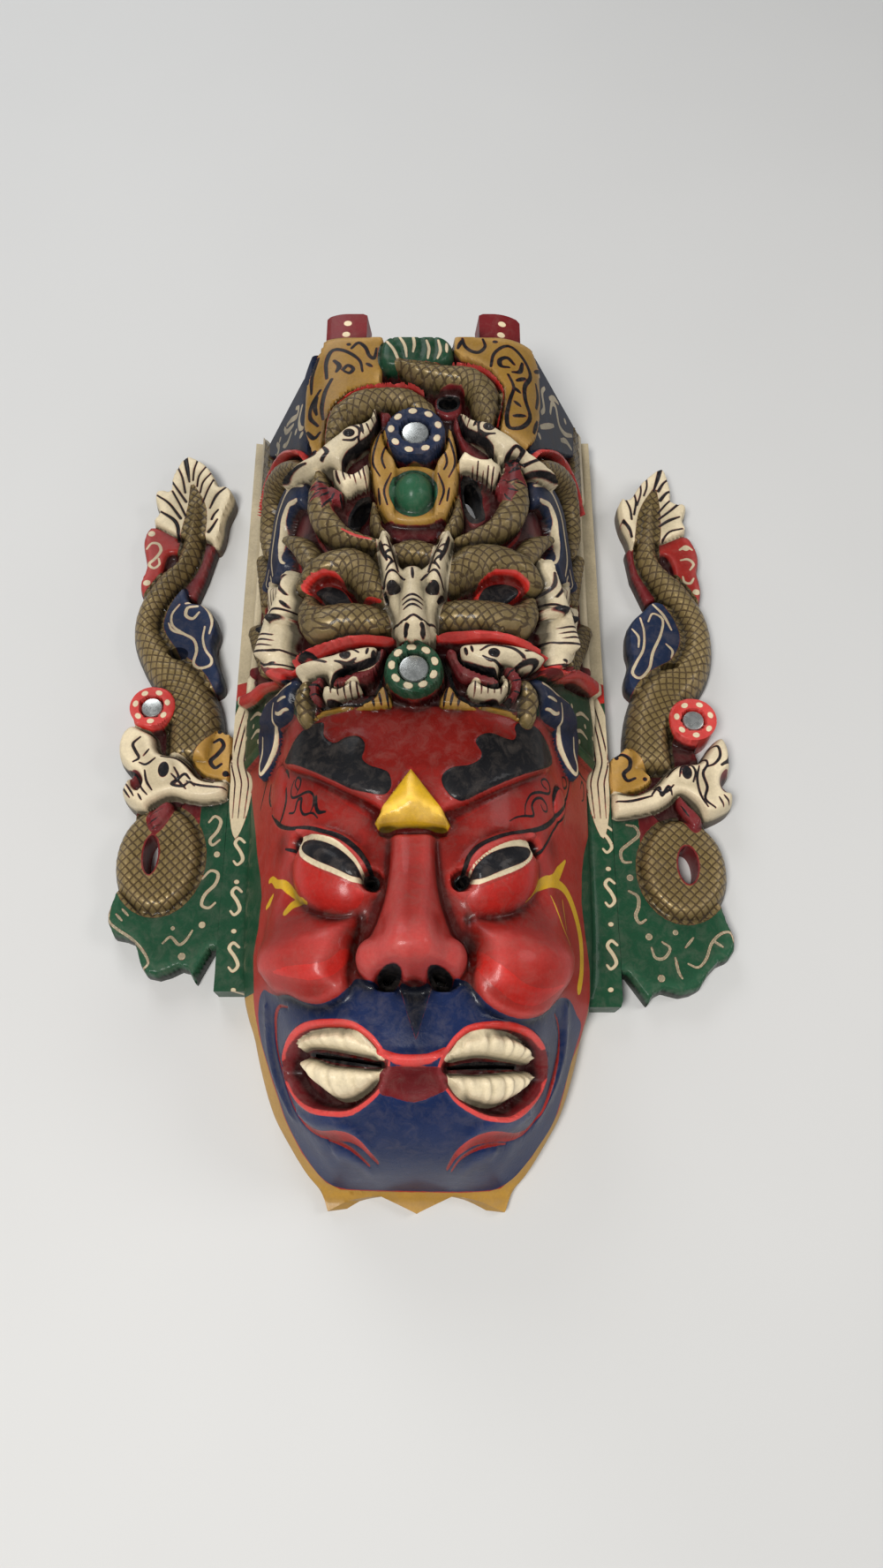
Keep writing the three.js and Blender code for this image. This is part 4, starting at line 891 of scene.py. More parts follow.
# Pierced hollows beside the gem, painted black round their openings as painted shade
pierced([(-31, 303), (-27, 305.6), (-21.6, 306), (-20.6, 300), (-21, 293), (-24.4, 287.4), (-27, 282.6),
    (-29.6, 279.6), (-33.8, 284), (-37, 290.5), (-35.6, 296), (-33.4, 300)], 3.5,
    [(-21.2, 300), (-21.4, 293), (-24.6, 287.2), (-27, 282.8), (-30.4, 282.6), (-31.6, 288), (-29.6, 294),
     (-26.4, 299.4)])
pierced([(18.6, 315), (22.4, 316.5), (27.8, 314.3), (33.2, 308.2), (36.2, 298.4), (34.6, 291), (29.6, 284.6),
    (23, 284.6), (19.6, 292), (18, 304.8)], 3.5,
    [(19.4, 309.6), (25.6, 309.6), (28.6, 303), (29.4, 295), (30, 288), (23.6, 286.2), (20.4, 294)])

# Upper pair of heads in profile, jaws open inwards, each with a fringe and a spiky frill
UPPER_HEADS = [
    (-1, [(-19.2, 345), (-18.1, 337), (-18.9, 329.6), (-21.3, 323.8), (-24.7, 319.8), (-28.8, 316.6),
     (-31.6, 312.8), (-33, 308.8), (-35.4, 307.6), (-38.2, 310), (-43.1, 308.4), (-48, 309.4), (-55, 312),
     (-64, 316), (-56, 315.2), (-49.4, 314.6), (-43.8, 317.4), (-40.4, 322.6), (-37.8, 326.4), (-35, 330),
     (-31.1, 332.6), (-26.3, 333.6), (-23.2, 336.4), (-21.8, 342)],
     [(-38.4, 311.6), (-36, 310), (-32.9, 308.8), (-29.9, 307.3), (-27, 309.5), (-24.4, 312.5), (-22, 314),
      (-21.2, 308), (-22.2, 302.8), (-26.8, 300.8), (-30.4, 298), (-33.4, 297.6), (-36, 300.2),
      (-37.6, 304.6)],
     [(-18.3, 345), (-12.4, 343.6), (-14.8, 334.7), (-15.8, 326.3), (-18.6, 318), (-21.8, 314), (-27.2, 309),
      (-30.1, 307), (-33.4, 310), (-31.8, 314), (-28.8, 317), (-24.8, 320.4), (-21.2, 324.6), (-18.8, 330.6),
      (-18, 338)], [(-19.4, 344), (-18.5, 336), (-21.4, 326.2), (-26.3, 320.6), (-30.9, 316.6),
     (-33.2, 312.6), (-33.7, 308.8)], (-31.2, 325.2),
     [(-37, 301), (-41.6, 302.6), (-44.6, 299.6), (-41.6, 298), (-44.4, 293.6), (-40.4, 294.6),
      (-39.6, 288.6), (-37.6, 293), (-34, 292.4), (-33.2, 297.6)]),
    (1, [(18, 345), (20.7, 341), (22.9, 338.2), (25.5, 335.6), (29, 335), (33.8, 333.4), (37.2, 330),
     (41, 325.6), (44.6, 320.4), (49.4, 316.6), (56, 315.6), (65, 316.4), (57, 312.4), (50.6, 310.8),
     (45, 311.4), (42.6, 313.4), (41.6, 316), (39.6, 316), (37.4, 313), (36.6, 310.6), (34.8, 312.6),
     (34.4, 317.2), (32.7, 318), (31.1, 320.2), (26.4, 324), (21.6, 328.8), (19.6, 335)],
     [(21.7, 321.2), (18.2, 316.8), (16.8, 310.2), (22.2, 310.8), (27.6, 308.8), (31.1, 306), (33.4, 303.4),
      (36.8, 306.5), (37.6, 311.5), (35.6, 313.4), (33.1, 317.4), (30.7, 315.4), (26.4, 316.4), (22.9, 319)],
     [(16.4, 341.5), (17.8, 345), (19.6, 337.7), (21.6, 330), (26.6, 325.6), (31.3, 321.8), (33.2, 318),
      (30.7, 316), (25.3, 317.6), (21.4, 321.4), (18.6, 326.5), (16.6, 334)],
     [(17.9, 345), (19.4, 337.5), (21.8, 330.2), (26.6, 325.9), (31.3, 322.1), (33.4, 318.4), (30.6, 316.2),
      (26.5, 317.2), (22.6, 319.6)], (32, 328.8),
     [(37.6, 314.6), (41.6, 318), (45, 317.4), (44, 312.6), (41.4, 311.6), (44.4, 302), (41, 304),
      (38.4, 304.4), (41, 297.6), (39, 292.6), (36, 295), (34.6, 301), (36.6, 308)]),
]
for s, head, jaw, mouth, lip, eye, frill in UPPER_HEADS:
    x, y = eye
    carve(plain_area(*frill), 11, "crimson", 1.2)
    strokes("black", *[[(a * 0.6 + s * 35 * 0.4, b * 0.6 + 303 * 0.4), (a, b)] for a, b in frill[0:10]],
        width=0.5)
    carve(area(*mouth), 8, "crimson", 2, "set")
    carve(area(*jaw), 14, "cream", -3).carve(area(*head), 17, "cream", -4)
    cut(line(lip, 0.6, 0.9, 0.9, 0.6), 1.0, 1.4).strokes("black", lip, width=0.95)
    carve(oval(x, y, 4.0, 3.3, s * -35), 19, "cream", None).dots("black", 2.7, eye)
    strokes("black",
        [(x - s * 4.4, y - 3.4), (x - s * 4.6, y + 2), (x - s * 1, y + 4.4), (x + s * 3.6, y + 3)],
        [(x - s * 6.4, y + 1), (x - s * 4.6, y + 6), (x - s * 1, y + 7)],
        [(x + s * 2.4, y - 4), (x - s * 1.6, y - 4), (x - s * 4, y - 2)], width=0.68)
    # Curls behind the eye, the line down the mane and the fringe of the lower jaw
    strokes("black", paired((47, 315), (44, 313.6), (41.6, 315), (42.4, 318), (40.4, 319.4), (39, 317.6)),
        paired((61, 316.6), (55, 313.4), (49, 312), (44, 311.4)),
        paired((39.8, 312), (38.2, 315), (39.6, 318.8)), width=0.62)
    for k in range(6):
        a = s * (36.2 - 2.3 * k)
        b = 309.6 - abs(k - 2) * 0.8 + (4 if k > 3 else 0) * (1 if s > 0 else 0.6)
        strokes("black", [(a, b), (a - s * 0.6, b - 4), (a - s * 1.6, b - 7)], width=0.4)
    for k in range(4):
        a, b = lip[1 + k // 2], lip[2 + k // 2]
        q = (a[0] + (b[0] - a[0]) * (k % 2) * 0.5 + s * 0.8, a[1] + (b[1] - a[1]) * (k % 2) * 0.5 + 1.5)
        strokes("black", [q, (q[0] + s * 1.4, q[1] + 3)], width=0.42)

# Upper rosette, its green gem and their frame
ROSETTES, ROSETTE_TOP = [((-1.5, 329), 14.5, "navy"), ((-1, 208.5), 12.6, "green")], 14
for c, r, coat in ROSETTES:
    carve(oval(*c, r), ROSETTE_TOP, coat, 2.4, "set")
    for k in range(9):
        a = 2 * math.pi * (k + 0.4) / 9
        x, y = c[0] + (r - 3.6) * math.cos(a), c[1] + (r - 3.6) * math.sin(a)
        carve(oval(x, y, 2.0, 1.5, math.degrees(a) + 90), 0.4, "cream", 0.8, "add")
    paint(oval(*c, MIRROR_R + 1.6), coat, tone=-0.4)
for leaf in [
    [(-22.6, 321), (-21.6, 308), (-18.8, 297), (-15, 286), (-9.6, 283), (-9, 312), (-13.4, 322),
     (-16.6, 334), (-19.6, 330)],
    [(18.4, 318), (18.6, 309), (17.8, 300), (15.6, 291), (12, 284), (6.4, 283), (7, 312), (11.6, 322),
     (13.6, 336), (16.6, 330)],
]:
    carve(area(*leaf), 12, "ochre", -2.4)
strokes("black", [(-16, 334), (-19, 324), (-20.4, 313), (-16.4, 304)],
    [(-14, 324), (-16.4, 315), (-13.2, 306)], [(12.6, 330), (15.4, 321), (16.6, 312), (13, 303)],
    [(11, 322), (13, 313), (10, 306)], width=0.55)
carve(area((-16, 286), (-19, 295), (-15.6, 308), (-8, 314), (4, 314), (12, 308), (15.4, 296), (12, 286),
    (4, 281), (-8, 281)), 10, "ochre", -3)
carve(oval(-2, 297.6, 11, 12.6), 18, "green", None).paint(oval(-2, 297.6, 10.4, 12), "green", tone=0.45)
strokes("black", [(-13.4, 290), (-15, 298), (-12, 307)], [(9.6, 290), (11.6, 298), (9, 307)],
    [(-16.8, 292), (-17.6, 299)], [(13, 292), (14, 299)], width=0.55)
carve(area((-16, 285), (-8, 282.6), (4, 282.6), (12, 285), (10, 277), (-2, 273), (-14, 278)), 6, "crimson",
    2, "set")
coil([(-15, 264), (-2, 268), (12, 264)], (6, 8, 6), 13)

# Central head with two horns, seen from the front
HEAD = [(-17.6, 273), (-13, 277), (-10.6, 270), (-8.5, 262.6), (-4.4, 256.2), (-0.7, 255.8), (4.8, 261),
    (7.3, 269), (11, 276.4), (15.8, 273), (15.7, 266), (14.7, 257.4), (12.6, 243), (9.8, 233), (9.1, 225),
    (5, 220.4), (-4, 220), (-9.9, 223.4), (-11, 230), (-14, 240), (-15.6, 253), (-17.4, 264)]
carve(area(*HEAD), 17, "cream", -5)
for points in ([(-14.6, 273), (-12.6, 261), (-10, 248)], [(13.2, 273), (10.4, 261), (7.4, 248)]):
    lift(line(points, 2.6, 4.6, 5.6), (17, 20, 21), None)
lift(line([(-2, 252), (-1.8, 240), (-1, 226)], 8, 8.4, 8.5), (18, 21, 25), None)
for x, y, rx, ry, high in ((-10.2, 244, 4.4, 3.8, 23), (7.2, 244, 4.4, 3.8, 23), (-4.4, 223.4, 3.4, 3, 25),
    (2.8, 223.4, 3.4, 3, 25)):
    lift(oval(x, y, rx, ry), high, None)
dots("black", 3.0, (-9.6, 243.4), (6.7, 243.2)).dots("cream", 0.7, (-10.4, 244.6), (6.0, 244.4))
strokes("black", [(-14.2, 245.6), (-12.4, 249.8), (-8.4, 250.4), (-5, 247.8)],
    [(2, 248), (4.6, 250.6), (8.4, 250.4), (11.4, 246)], [(-5.6, 237.4), (-1.6, 238.6), (2.6, 237.4)],
    [(-5.4, 234.4), (-1.6, 235.6), (2.6, 234.4)], [(-5, 231.6), (-1.6, 232.8), (2.2, 231.6)],
    [(-9.4, 228), (-4.6, 225.4), (-1, 226.6), (3, 225.4), (8, 228)], [(-4.6, 221.6), (-3, 223)],
    [(2, 223), (3.6, 221.6)], [(-12, 238.6), (-13.6, 243)], [(9, 238.6), (11.4, 243)],
    [(-16.4, 270), (-14.6, 262), (-12.6, 256)], [(13.8, 270), (12, 262), (10, 256)],
    [(-8, 252), (-9.4, 258), (-11, 264), (-13, 270)], [(5, 252), (6.4, 258), (8, 264), (10.6, 270)],
    [(-12.8, 252), (-10.4, 256), (-13.6, 259), (-11, 262.6), (-14.6, 265)],
    [(9.6, 252), (7.4, 256), (10.8, 259), (8.6, 262.6), (12.2, 265)], [(-2, 254), (-1.6, 248)], width=0.7)
dots("black", 0.9, (-4.2, 221.2), (2.6, 221.2))

# Heads seen from the front at the outer ends of the great coils
SIDE_HEADS = [
    (-1, [(-54, 267), (-50.6, 260), (-50.4, 250), (-51.4, 240), (-52.4, 230), (-52.4, 222), (-51.6, 214.6),
     (-54.6, 210.6), (-60, 212.6), (-66, 218), (-69.4, 225), (-67, 232), (-68, 240), (-72, 247),
     (-65, 249.6), (-58.6, 250.6), (-56.6, 256), (-56, 262)], (-54.4, 239.4), (-62.6, 238.6), 235.4,
     (-55, 218.4)),
    (1, [(49.6, 267), (54, 272), (57, 263), (60, 256.6), (64.6, 254), (71.6, 258), (79, 260), (77.4, 250),
     (74, 241), (73, 233), (68.4, 224.6), (62.4, 219), (57.4, 215.6), (53.4, 213.6), (52, 221), (53, 228),
     (54, 236), (53.6, 243), (54, 250), (51, 257)], (54.8, 243.8), (63.4, 244.4), 239.4, (56, 220)),
]
for s, head, near, far, mid, nostril in SIDE_HEADS:
    carve(area(*head), 14, "cream", -5)
    cx = 0.6 * near[0] + 0.4 * far[0]
    muzzle = [(cx + s * 0.8, mid + 8), (cx + s * 0.6, mid - 2), (cx + s * 0.4, mid - 11)]
    lift(line(muzzle, 3.2, 3.8, 4.6), (15, 17, 19), None).paint(line(muzzle, 4.0, 4.8, 5.4), "cream")
    for x, y in (near, far):
        carve(oval(x, y, 2.8, 3.2), 18, "cream", None).dots("black", 2.2, (x, y))
        strokes("black", [(x - 4, y + 3), (x - 1, y + 5.4), (x + 3.4, y + 3.6)], width=0.55)
    for k in range(3):
        strokes("black", [(cx - 2.4, mid - 3 - 2.8 * k), (cx, mid - 2 - 2.8 * k),
            (cx + 2.4, mid - 3 - 2.8 * k)], width=0.5)
    strokes("black",
        [(cx - 6, mid - 13), (cx - 4.6, mid - 10), (cx - s * 2, mid - 11.4), (cx + 3.6, mid - 10.4),
         (cx + 6, mid - 12.6)], paired((52, 251), (53.6, 256), (53, 262)),
        paired((55.4, 252), (56, 256.4), (55, 261)), paired((52, 245), (53, 248)), width=0.5)
    dots("black", 0.9, nostril, (nostril[0] + s * 4.6, nostril[1] - 1))
    carve(line(paired((51, 213.6), (57, 215), (63, 219.4), (68, 223.6)), 0.8, 2.0, 2.0, 0.8), 13, "crimson",
        None)
    strokes("black", paired((49.6, 217.4), (55, 217.6), (62, 222), (68, 226)), width=0.55)

# Red border over the lower heads and outwards along the green
carve(line([(-9.6, 223), (-14, 223), (-22, 223.2), (-31, 221.8), (-39, 218.6), (-47, 214.6)], 1.0, 2.0, 2.3,
    2.4, 2.0, 1.2), 14, "scarlet", 4)
carve(line([(9, 224.6), (13, 225), (23, 225), (34, 224.2), (42, 221.4), (49, 217)], 1.0, 1.9, 2.6, 2.6, 2.0,
    1.2), 14, "scarlet", 4)
carve(line([(-47, 213.4), (-60, 213.8), (-71, 217.6), (-86, 223), (-104, 226), (-130, 234)], 1.4, 2.0, 2.4,
    3.2, 3.6, 3.6), 8, "scarlet", 4)
carve(line([(49, 215.6), (62, 216.6), (76, 223.4), (92, 231.6), (110, 236), (138, 239)], 1.4, 2.0, 2.8, 3.6,
    4.2, 4.0), 8, "scarlet", 4)
for s in (-1, 1):
    # Navy scroll under the border, edged with cream
    carve(area(*paired((49.6, 211.6), (46.6, 207.6), (50.4, 204), (53, 198), (58, 195.6), (74, 197),
        (88, 202), (90, 209), (80, 213.6), (68, 212.4), (58, 211.4))), 6.5, "navy", -4)
    strokes("cream",
        paired((51, 208.6), (60, 208.4), (68, 210.2), (78, 210.8), (86, 207), (82, 201.4), (74, 200.6),
            (72, 204.4)), width=0.85)
    strokes("cream", paired((55, 199), (62, 199.6), (67, 203.6)), paired((54, 203.6), (60, 204.6)),
        width=0.7)
    strokes("cream", paired((96, 206), (104, 209), (112, 208.4)), paired((98, 215), (106, 219), (116, 220)),
        width=0.9)
    dots("cream", 1.3, *paired((101, 202.6), (110, 214), (121, 212), (92, 217), (122, 226)))
    carve(area(*paired((62, 208), (66, 199), (74, 192), (84, 185.6), (95, 182), (103, 185), (101, 194),
        (94, 204), (86, 211))), 5, "navy", -3)
    strokes("cream",
        paired((66, 206), (70, 198), (78, 191), (88, 186), (97, 185), (99, 190), (93, 194), (88, 199)),
        width=0.85)
    # Feathered plume that hangs from the crown on to the flange
    carve(area(*paired((121, 246), (130, 240), (136.4, 222), (138.4, 198), (138.4, 178), (135, 164),
        (130, 176), (127, 196), (123, 216), (118, 234))), 4, "cream", -2)
    for k in (-2.6, 0.2, 2.8):
        strokes("black", paired((126 + k, 238), (130.4 + k, 216), (132.8 + k * 1.2, 194), (134 + k, 174)),
            width=0.36)

# Lower pair of heads in profile under the red border
LOWER_HEADS = [
    (-1, [(-46.4, 208), (-45.6, 211.4), (-41.4, 213.4), (-36.6, 215), (-29.7, 217.6), (-21.2, 219.4),
     (-16.6, 219.2), (-14.8, 217.6), (-15.6, 213.5), (-18, 209.8), (-22, 208), (-28.2, 207.6),
     (-32.7, 204.4), (-34.7, 202.4), (-36.3, 203), (-37, 205.8), (-41, 205.8), (-44, 205)],
     [(-38.1, 201.5), (-36.7, 203.2), (-34.6, 202), (-31.8, 201.3), (-28.3, 203.8), (-25.7, 205.7),
      (-23.2, 203.4), (-22.4, 200.4), (-25.9, 198.2), (-30.3, 197.2), (-36.3, 195.4), (-38.6, 198)],
     [(-15.6, 219.6), (-16.2, 213.8), (-20.8, 210.2), (-28.5, 208.2), (-33, 205.6), (-34.8, 202.4)],
     (-29.3, 213),
     [(-39, 205.8), (-37, 206.4), (-37.4, 203), (-39, 201), (-38.6, 197), (-40.6, 194.6), (-42, 198),
      (-42, 202.4)]),
    (1, [(17.8, 219.6), (28.5, 221), (36.9, 220.4), (42.4, 219.4), (46.4, 217.6), (49, 215.4), (47.6, 212.6),
     (41.4, 210.4), (37.5, 210.8), (35.4, 210.4), (34.2, 207.5), (32.6, 206.6), (28.3, 207.9), (22.6, 210.1),
     (18.6, 213.7)],
     [(20.8, 201.4), (22.3, 203.8), (25.3, 205), (27.8, 202.6), (33.2, 201.2), (35.4, 204.6), (35, 208.4),
      (37.4, 206.6), (38.2, 200.4), (34.9, 196.3), (28, 196.5), (23.3, 197.7)],
     [(17.5, 219.6), (18.2, 214), (22.5, 210.6), (28.4, 208.4), (33.2, 207), (35.1, 204.6), (33.7, 201.8),
      (29.7, 201.8)], (32.2, 214),
     [(36, 210.6), (39.4, 210), (41.4, 205), (41.2, 199), (39, 195.8), (37, 197), (38.4, 200.7),
      (37.6, 206)]),
]
for s, head, jaw, lip, eye, frill in LOWER_HEADS:
    x, y = eye
    carve(area(*paired((12.6, 219), (17, 218), (19, 212), (27, 207.6), (34, 205), (34, 201), (26, 203),
        (20, 205), (16.4, 209))), 11, "crimson", 2, "set")
    coil(paired((48, 193), (46.4, 199), (43.4, 205)), (4, 4.6, 3), 9)
    carve(plain_area(*frill), 11, "crimson", 1.2)
    strokes("black", *[[(a, b), (a * 0.6 + x * 0.4, b * 0.6 + 201 * 0.4)] for a, b in frill], width=0.45)
    carve(area(*jaw), 13, "cream", -3).carve(area(*head), 16, "cream", -4)
    cut(line(lip, 0.8, 1.0, 1.0, 0.7), 0.8, 1.6).strokes("black", lip, width=1.05)
    carve(oval(x, y, 4.0, 2.9), 18, "cream", None).dots("black", 2.4, eye)
    strokes("black",
        [(x + s * 8.6, y - 1), (x + s * 5, y + 2.6), (x - s * 1, y + 3.6), (x - s * 5.6, y + 1)],
        [(x + s * 4, y - 3), (x - s * 1, y - 3.4), (x - s * 4.6, y - 1.6)],
        [(x + s * 7, y - 3.4), (x + s * 12, y - 1), (x + s * 16, y - 2.6)],
        [(x + s * 9, y + 1.6), (x + s * 12.6, y + 3.4), (x + s * 15.6, y + 1.6)],
        [(x - s * 9.4, y + 3), (x - s * 8.8, y + 0.4)], [(x - s * 12, y + 2.4), (x - s * 11, y)],
        width=0.65)
    for k in range(5):
        strokes("black", paired((24.6 + 2.6 * k, 203.4), (24.2 + 2.6 * k, 198)), width=0.38)
    # Flames in ochre and black beside the green rosette
    carve(area(*paired((10.8, 194), (11.2, 201), (13.4, 204), (16, 202), (18, 198.4), (23, 195.4),
        (26, 193.4))), 8, "ochre", -2)
    strokes("black", paired((12, 194.6), (12.6, 200), (13.6, 203)), paired((15, 194.6), (15.6, 199.6)),
        paired((18, 194.4), (18.4, 197)), width=0.6)
    strokes("black", paired((10.4, 219), (13.6, 212.5), (16, 204.6), (20, 198.4), (25, 195.8), (30, 195.6)),
        width=0.9)
    carve(line(paired((27, 194.6), (33, 194.4), (40, 193.6), (44, 192)), 0.6, 1.3, 1.3, 0.6), 5.5, "ochre",
        None)
    strokes("black", paired((27, 196.4), (34, 196.2), (42, 194.8)), width=0.5)

# Tabs at the open end, with two cream dots each
for s, t0, t1 in ((-1, -47, -25), (1, 28, 51)):
    paint(plain_area((t0, 391.5), (t1, 391.5), (t1, 420), (t0, 420)), "crimson", tone=0.5)
    lift(plain_area((t0 - 1, 391.5), (t1 + 1, 391.5), (t1 + 1, 420), (t0 - 1, 420)), 1.0, 1.5, "set")
    mid = (t0 + t1) / 2
    dots("cream", 1.9, (mid, 398), (mid + 0.6, 405))
# Cream scrolls on the navy fields
strokes("cream", [(-84, 369), (-81, 364.6), (-76, 362), (-69, 360)],
    [(-80, 368), (-73, 366), (-64, 361.6), (-62, 365), (-66, 368)],
    [(-57, 362), (-60, 356), (-58, 350), (-55, 347)], [(-72, 357), (-78, 355), (-84, 358)],
    [(-96, 368), (-92, 362), (-97, 358)], [(60, 352), (70, 360), (79, 367)],
    [(75, 372), (78, 380), (84, 382.4), (88, 374), (97, 375), (108, 382)],
    [(75, 381), (82, 386.4), (88, 388)], [(62, 362), (66, 368), (64, 376), (68, 382)],
    [(90, 366), (98, 371), (106, 372)], width=1.5)
dots("cream", 1.8, (-91, 367), (-64, 352), (-56, 344), (-98, 361), (60, 384), (118, 379), (98, 384),
    (58, 345))


def body_outline():
    """The chart's edge: zigzag chin plate, flanges, posts and the tabs at the crown's open end."""
    def flange(*rows):
        return [(ARC + EDGE_X - float(width_at(y)), y) for y in rows]

    points = [(-ARC, 1), (-80, 5), (-34, 7), (0, 0), (34, 7), (80, 4), (ARC, 0.5)]
    points += [(ARC, FLANGE_LOW_RIGHT)] + flange(FLANGE_LOW_RIGHT, 90, 100, 120, 150, 190, 197, 205, 393)
    points += [(ARC - 6, 393), (118, 390), (110, 391), (50, 391), (50, 410), (48, 411), (31, 411), (29, 410),
        (29, 391), (17, 391), (13, 388), (-13, 388), (-17, 391), (-26, 391), (-26, 410), (-28, 411),
        (-44, 411), (-46, 410), (-46, 391), (-50, 389), (-56, 378), (-112, 378), (-122, 391)]
    points += [(-x, y) for x, y in flange(393, 205, 197, 190, 150, 120, 100, FLANGE_LOW_LEFT)]
    points += [(-ARC, FLANGE_LOW_LEFT)]
    return np.array(points, float)


BODY_OUTLINE = body_outline()
# Nostrils, inner corners of the eyes and three openings between the coils; and the slits between the teeth
HOLES = [(-10.4, 83, 3.6, 1.6, 8), (11.4, 83, 3.6, 1.6, -8), (-19.2, 122, 2.2, 2.0), (20, 122, 2.4, 2.2),
         (-25.8, 291, 8, 3.2, 62), (24.6, 298, 9.6, 3.6, -78), (13.6, 353.6, 4.6, 3.6)]
SLITS = [(-56, 57.4, -16, 52.2, 0.7), (17, 51, 58, 53.2, 0.7)]


def within_body(t, y):
    """The distance inside the chart's edge and outside the openings that are cut right through."""
    d = inside_outline(BODY_OUTLINE, t, y)
    for place in HOLES:
        d = np.minimum(d, -inside_oval(*oval(*place)[1], t, y)[0])
    for ax, ay, bx, by, w in SLITS:
        k = np.clip(((t - ax) * (bx - ax) + (y - ay) * (by - ay)) / ((bx - ax) ** 2 + (by - ay) ** 2), 0, 1)
        d = np.minimum(d, np.hypot(t - ax - k * (bx - ax), y - ay - k * (by - ay)) - w)
    return d


body.h *= smooth(1.0, 0.95, np.abs(body.X) / ARC) * smooth(4, 12, body.Y)
for (x, y), *_ in ROSETTES:
    seat = np.hypot(body.X - x, body.Y - y) < MIRROR_R + SEAT_ROOM
    body.h = np.where(seat, ROSETTE_TOP - MIRROR_SINK - MIRROR_T - GAP, body.h)
mask_body = carved_mesh("mask_body_carved", body, within_body, body_front, body_back,
    fine_reach=0.58, detail=0.4)

# Paint over carved wood, shared by the mask body and the wings: every coat has its own mask on the surface
SHADES = {
    "red": ((0.36, 0.026, 0.02), 0.42),
    "scarlet": ((0.5, 0.022, 0.016), 0.32),
    "crimson": ((0.13, 0.01, 0.012), 0.46),
    "blue": ((0.011, 0.022, 0.076), 0.32),
    "navy": ((0.01, 0.019, 0.05), 0.62),
    "green": ((0.012, 0.06, 0.028), 0.4),
    "ochre": ((0.38, 0.21, 0.04), 0.42),
    "yellow": ((0.68, 0.4, 0.02), 0.4),
    "gold": ((0.2, 0.142, 0.055), 0.42),
    "cream": ((0.62, 0.52, 0.34), 0.46),
    "black": ((0.008, 0.008, 0.01), 0.52),
}


def add(nodes, kind, **settings):
    node = nodes.new(kind)
    inputs = settings.pop("inputs", {})
    for key, value in settings.items():
        setattr(node, key, value)
    for key, value in inputs.items():
        node.inputs[key].default_value = value
    return node


def calc(tree, operation, *values):
    node = tree.nodes.new("ShaderNodeMath")
    node.operation = {"+": "ADD", "-": "SUBTRACT", "*": "MULTIPLY", "/": "DIVIDE"}.get(operation, operation)
    for i, value in enumerate(values):
        if isinstance(value, (int, float)):
            node.inputs[i].default_value = value
        else:
            tree.links.new(value, node.inputs[i])
    return node.outputs[0]


def mixed(tree, factor, a, b, kind="RGBA"):
    node = tree.nodes.new("ShaderNodeMix")
    node.data_type = kind
    slots = {"RGBA": (6, 7, 2), "FLOAT": (2, 3, 0)}[kind]
    for slot, value in ((0, factor), (slots[0], a), (slots[1], b)):
        if isinstance(value, (int, float, tuple)):
            node.inputs[slot].default_value = value
        else:
            tree.links.new(value, node.inputs[slot])
    return node.outputs[slots[2]]


def noise(tree, scale, detail=3.0, rough=0.6, vector=None, warp=0.0):
    inputs = {"Scale": scale, "Detail": detail, "Roughness": rough, "Distortion": warp}
    node = add(tree.nodes, "ShaderNodeTexNoise", inputs=inputs)
    if vector is None:
        vector = add(tree.nodes, "ShaderNodeTexCoord").outputs["Object"]
    tree.links.new(vector, node.inputs["Vector"])
    return node.outputs["Fac"]


def group(name, ins, outs):
    tree = bpy.data.node_groups.new(name, "ShaderNodeTree")
    for key, value in ins.items():
        kind = "NodeSocketColor" if isinstance(value, tuple) else "NodeSocketFloat"
        tree.interface.new_socket(name=key, in_out="INPUT", socket_type=kind).default_value = value
    for key in outs:
        kind = "NodeSocketColor" if key == "Color" else "NodeSocketFloat"
        tree.interface.new_socket(name=key, in_out="OUTPUT", socket_type=kind)
    return tree, tree.nodes.new("NodeGroupInput").outputs, tree.nodes.new("NodeGroupOutput").inputs


def place(tree, made, **values):
    node = tree.nodes.new("ShaderNodeGroup")
    node.node_tree = made
    for key, value in values.items():
        socket = node.inputs[key.replace("_", " ")]
        if isinstance(value, (int, float, tuple)):
            socket.default_value = value
        else:
            tree.links.new(value, socket)
    return node.outputs


# Brushed edge: a coat's distance becomes a mask with a slightly unsteady edge
brushed, gi, go = group("brushed edge", {"Distance": 0.0, "Wobble": 0.3, "Softness": 0.18}, ["Mask"])
shake = calc(brushed, "*", calc(brushed, "-", noise(brushed, 420, 3), 0.5), gi["Wobble"])
shaken = calc(brushed, "+", gi["Distance"], shake)
ramp = add(brushed.nodes, "ShaderNodeMapRange", interpolation_type="SMOOTHSTEP")
brushed.links.new(shaken, ramp.inputs["Value"])
brushed.links.new(calc(brushed, "*", gi["Softness"], -1.0), ramp.inputs["From Min"])
brushed.links.new(gi["Softness"], ramp.inputs["From Max"])
brushed.links.new(ramp.outputs[0], go["Mask"])

# Aged paint: uneven strength, dust, old dirt and painted shade in the hollows, and rubbed high edges with a
# painted highlight
AGED_AND_LIT_INPUTS = {"Color": (0.5, 0.5, 0.5, 1), "Hollow": 0.0, "Tone": 0.0, "Dark": 0.0, "Dust": 0.35,
    "Rub": 0.35, "Roughness": 0.5, "Fine": 1.0}
aged_and_lit, gi, go = group("aged paint", AGED_AND_LIT_INPUTS, ["Color", "Roughness", "Height"])
cloud = noise(aged_and_lit, 55, 4, 0.62)
grain = noise(aged_and_lit, 900, 3, 0.65)
streak = noise(aged_and_lit, 160, 4, 0.7, warp=0.6)
value = calc(aged_and_lit, "+", 1.0, calc(aged_and_lit, "*", calc(aged_and_lit, "-", cloud, 0.5), 0.55))
fine_grain = calc(aged_and_lit, "*", calc(aged_and_lit, "-", grain, 0.5), calc(aged_and_lit, "*", 0.35, gi["Fine"]))
value = calc(aged_and_lit, "+", calc(aged_and_lit, "+", value, fine_grain), calc(aged_and_lit, "*", gi["Tone"], 0.55))
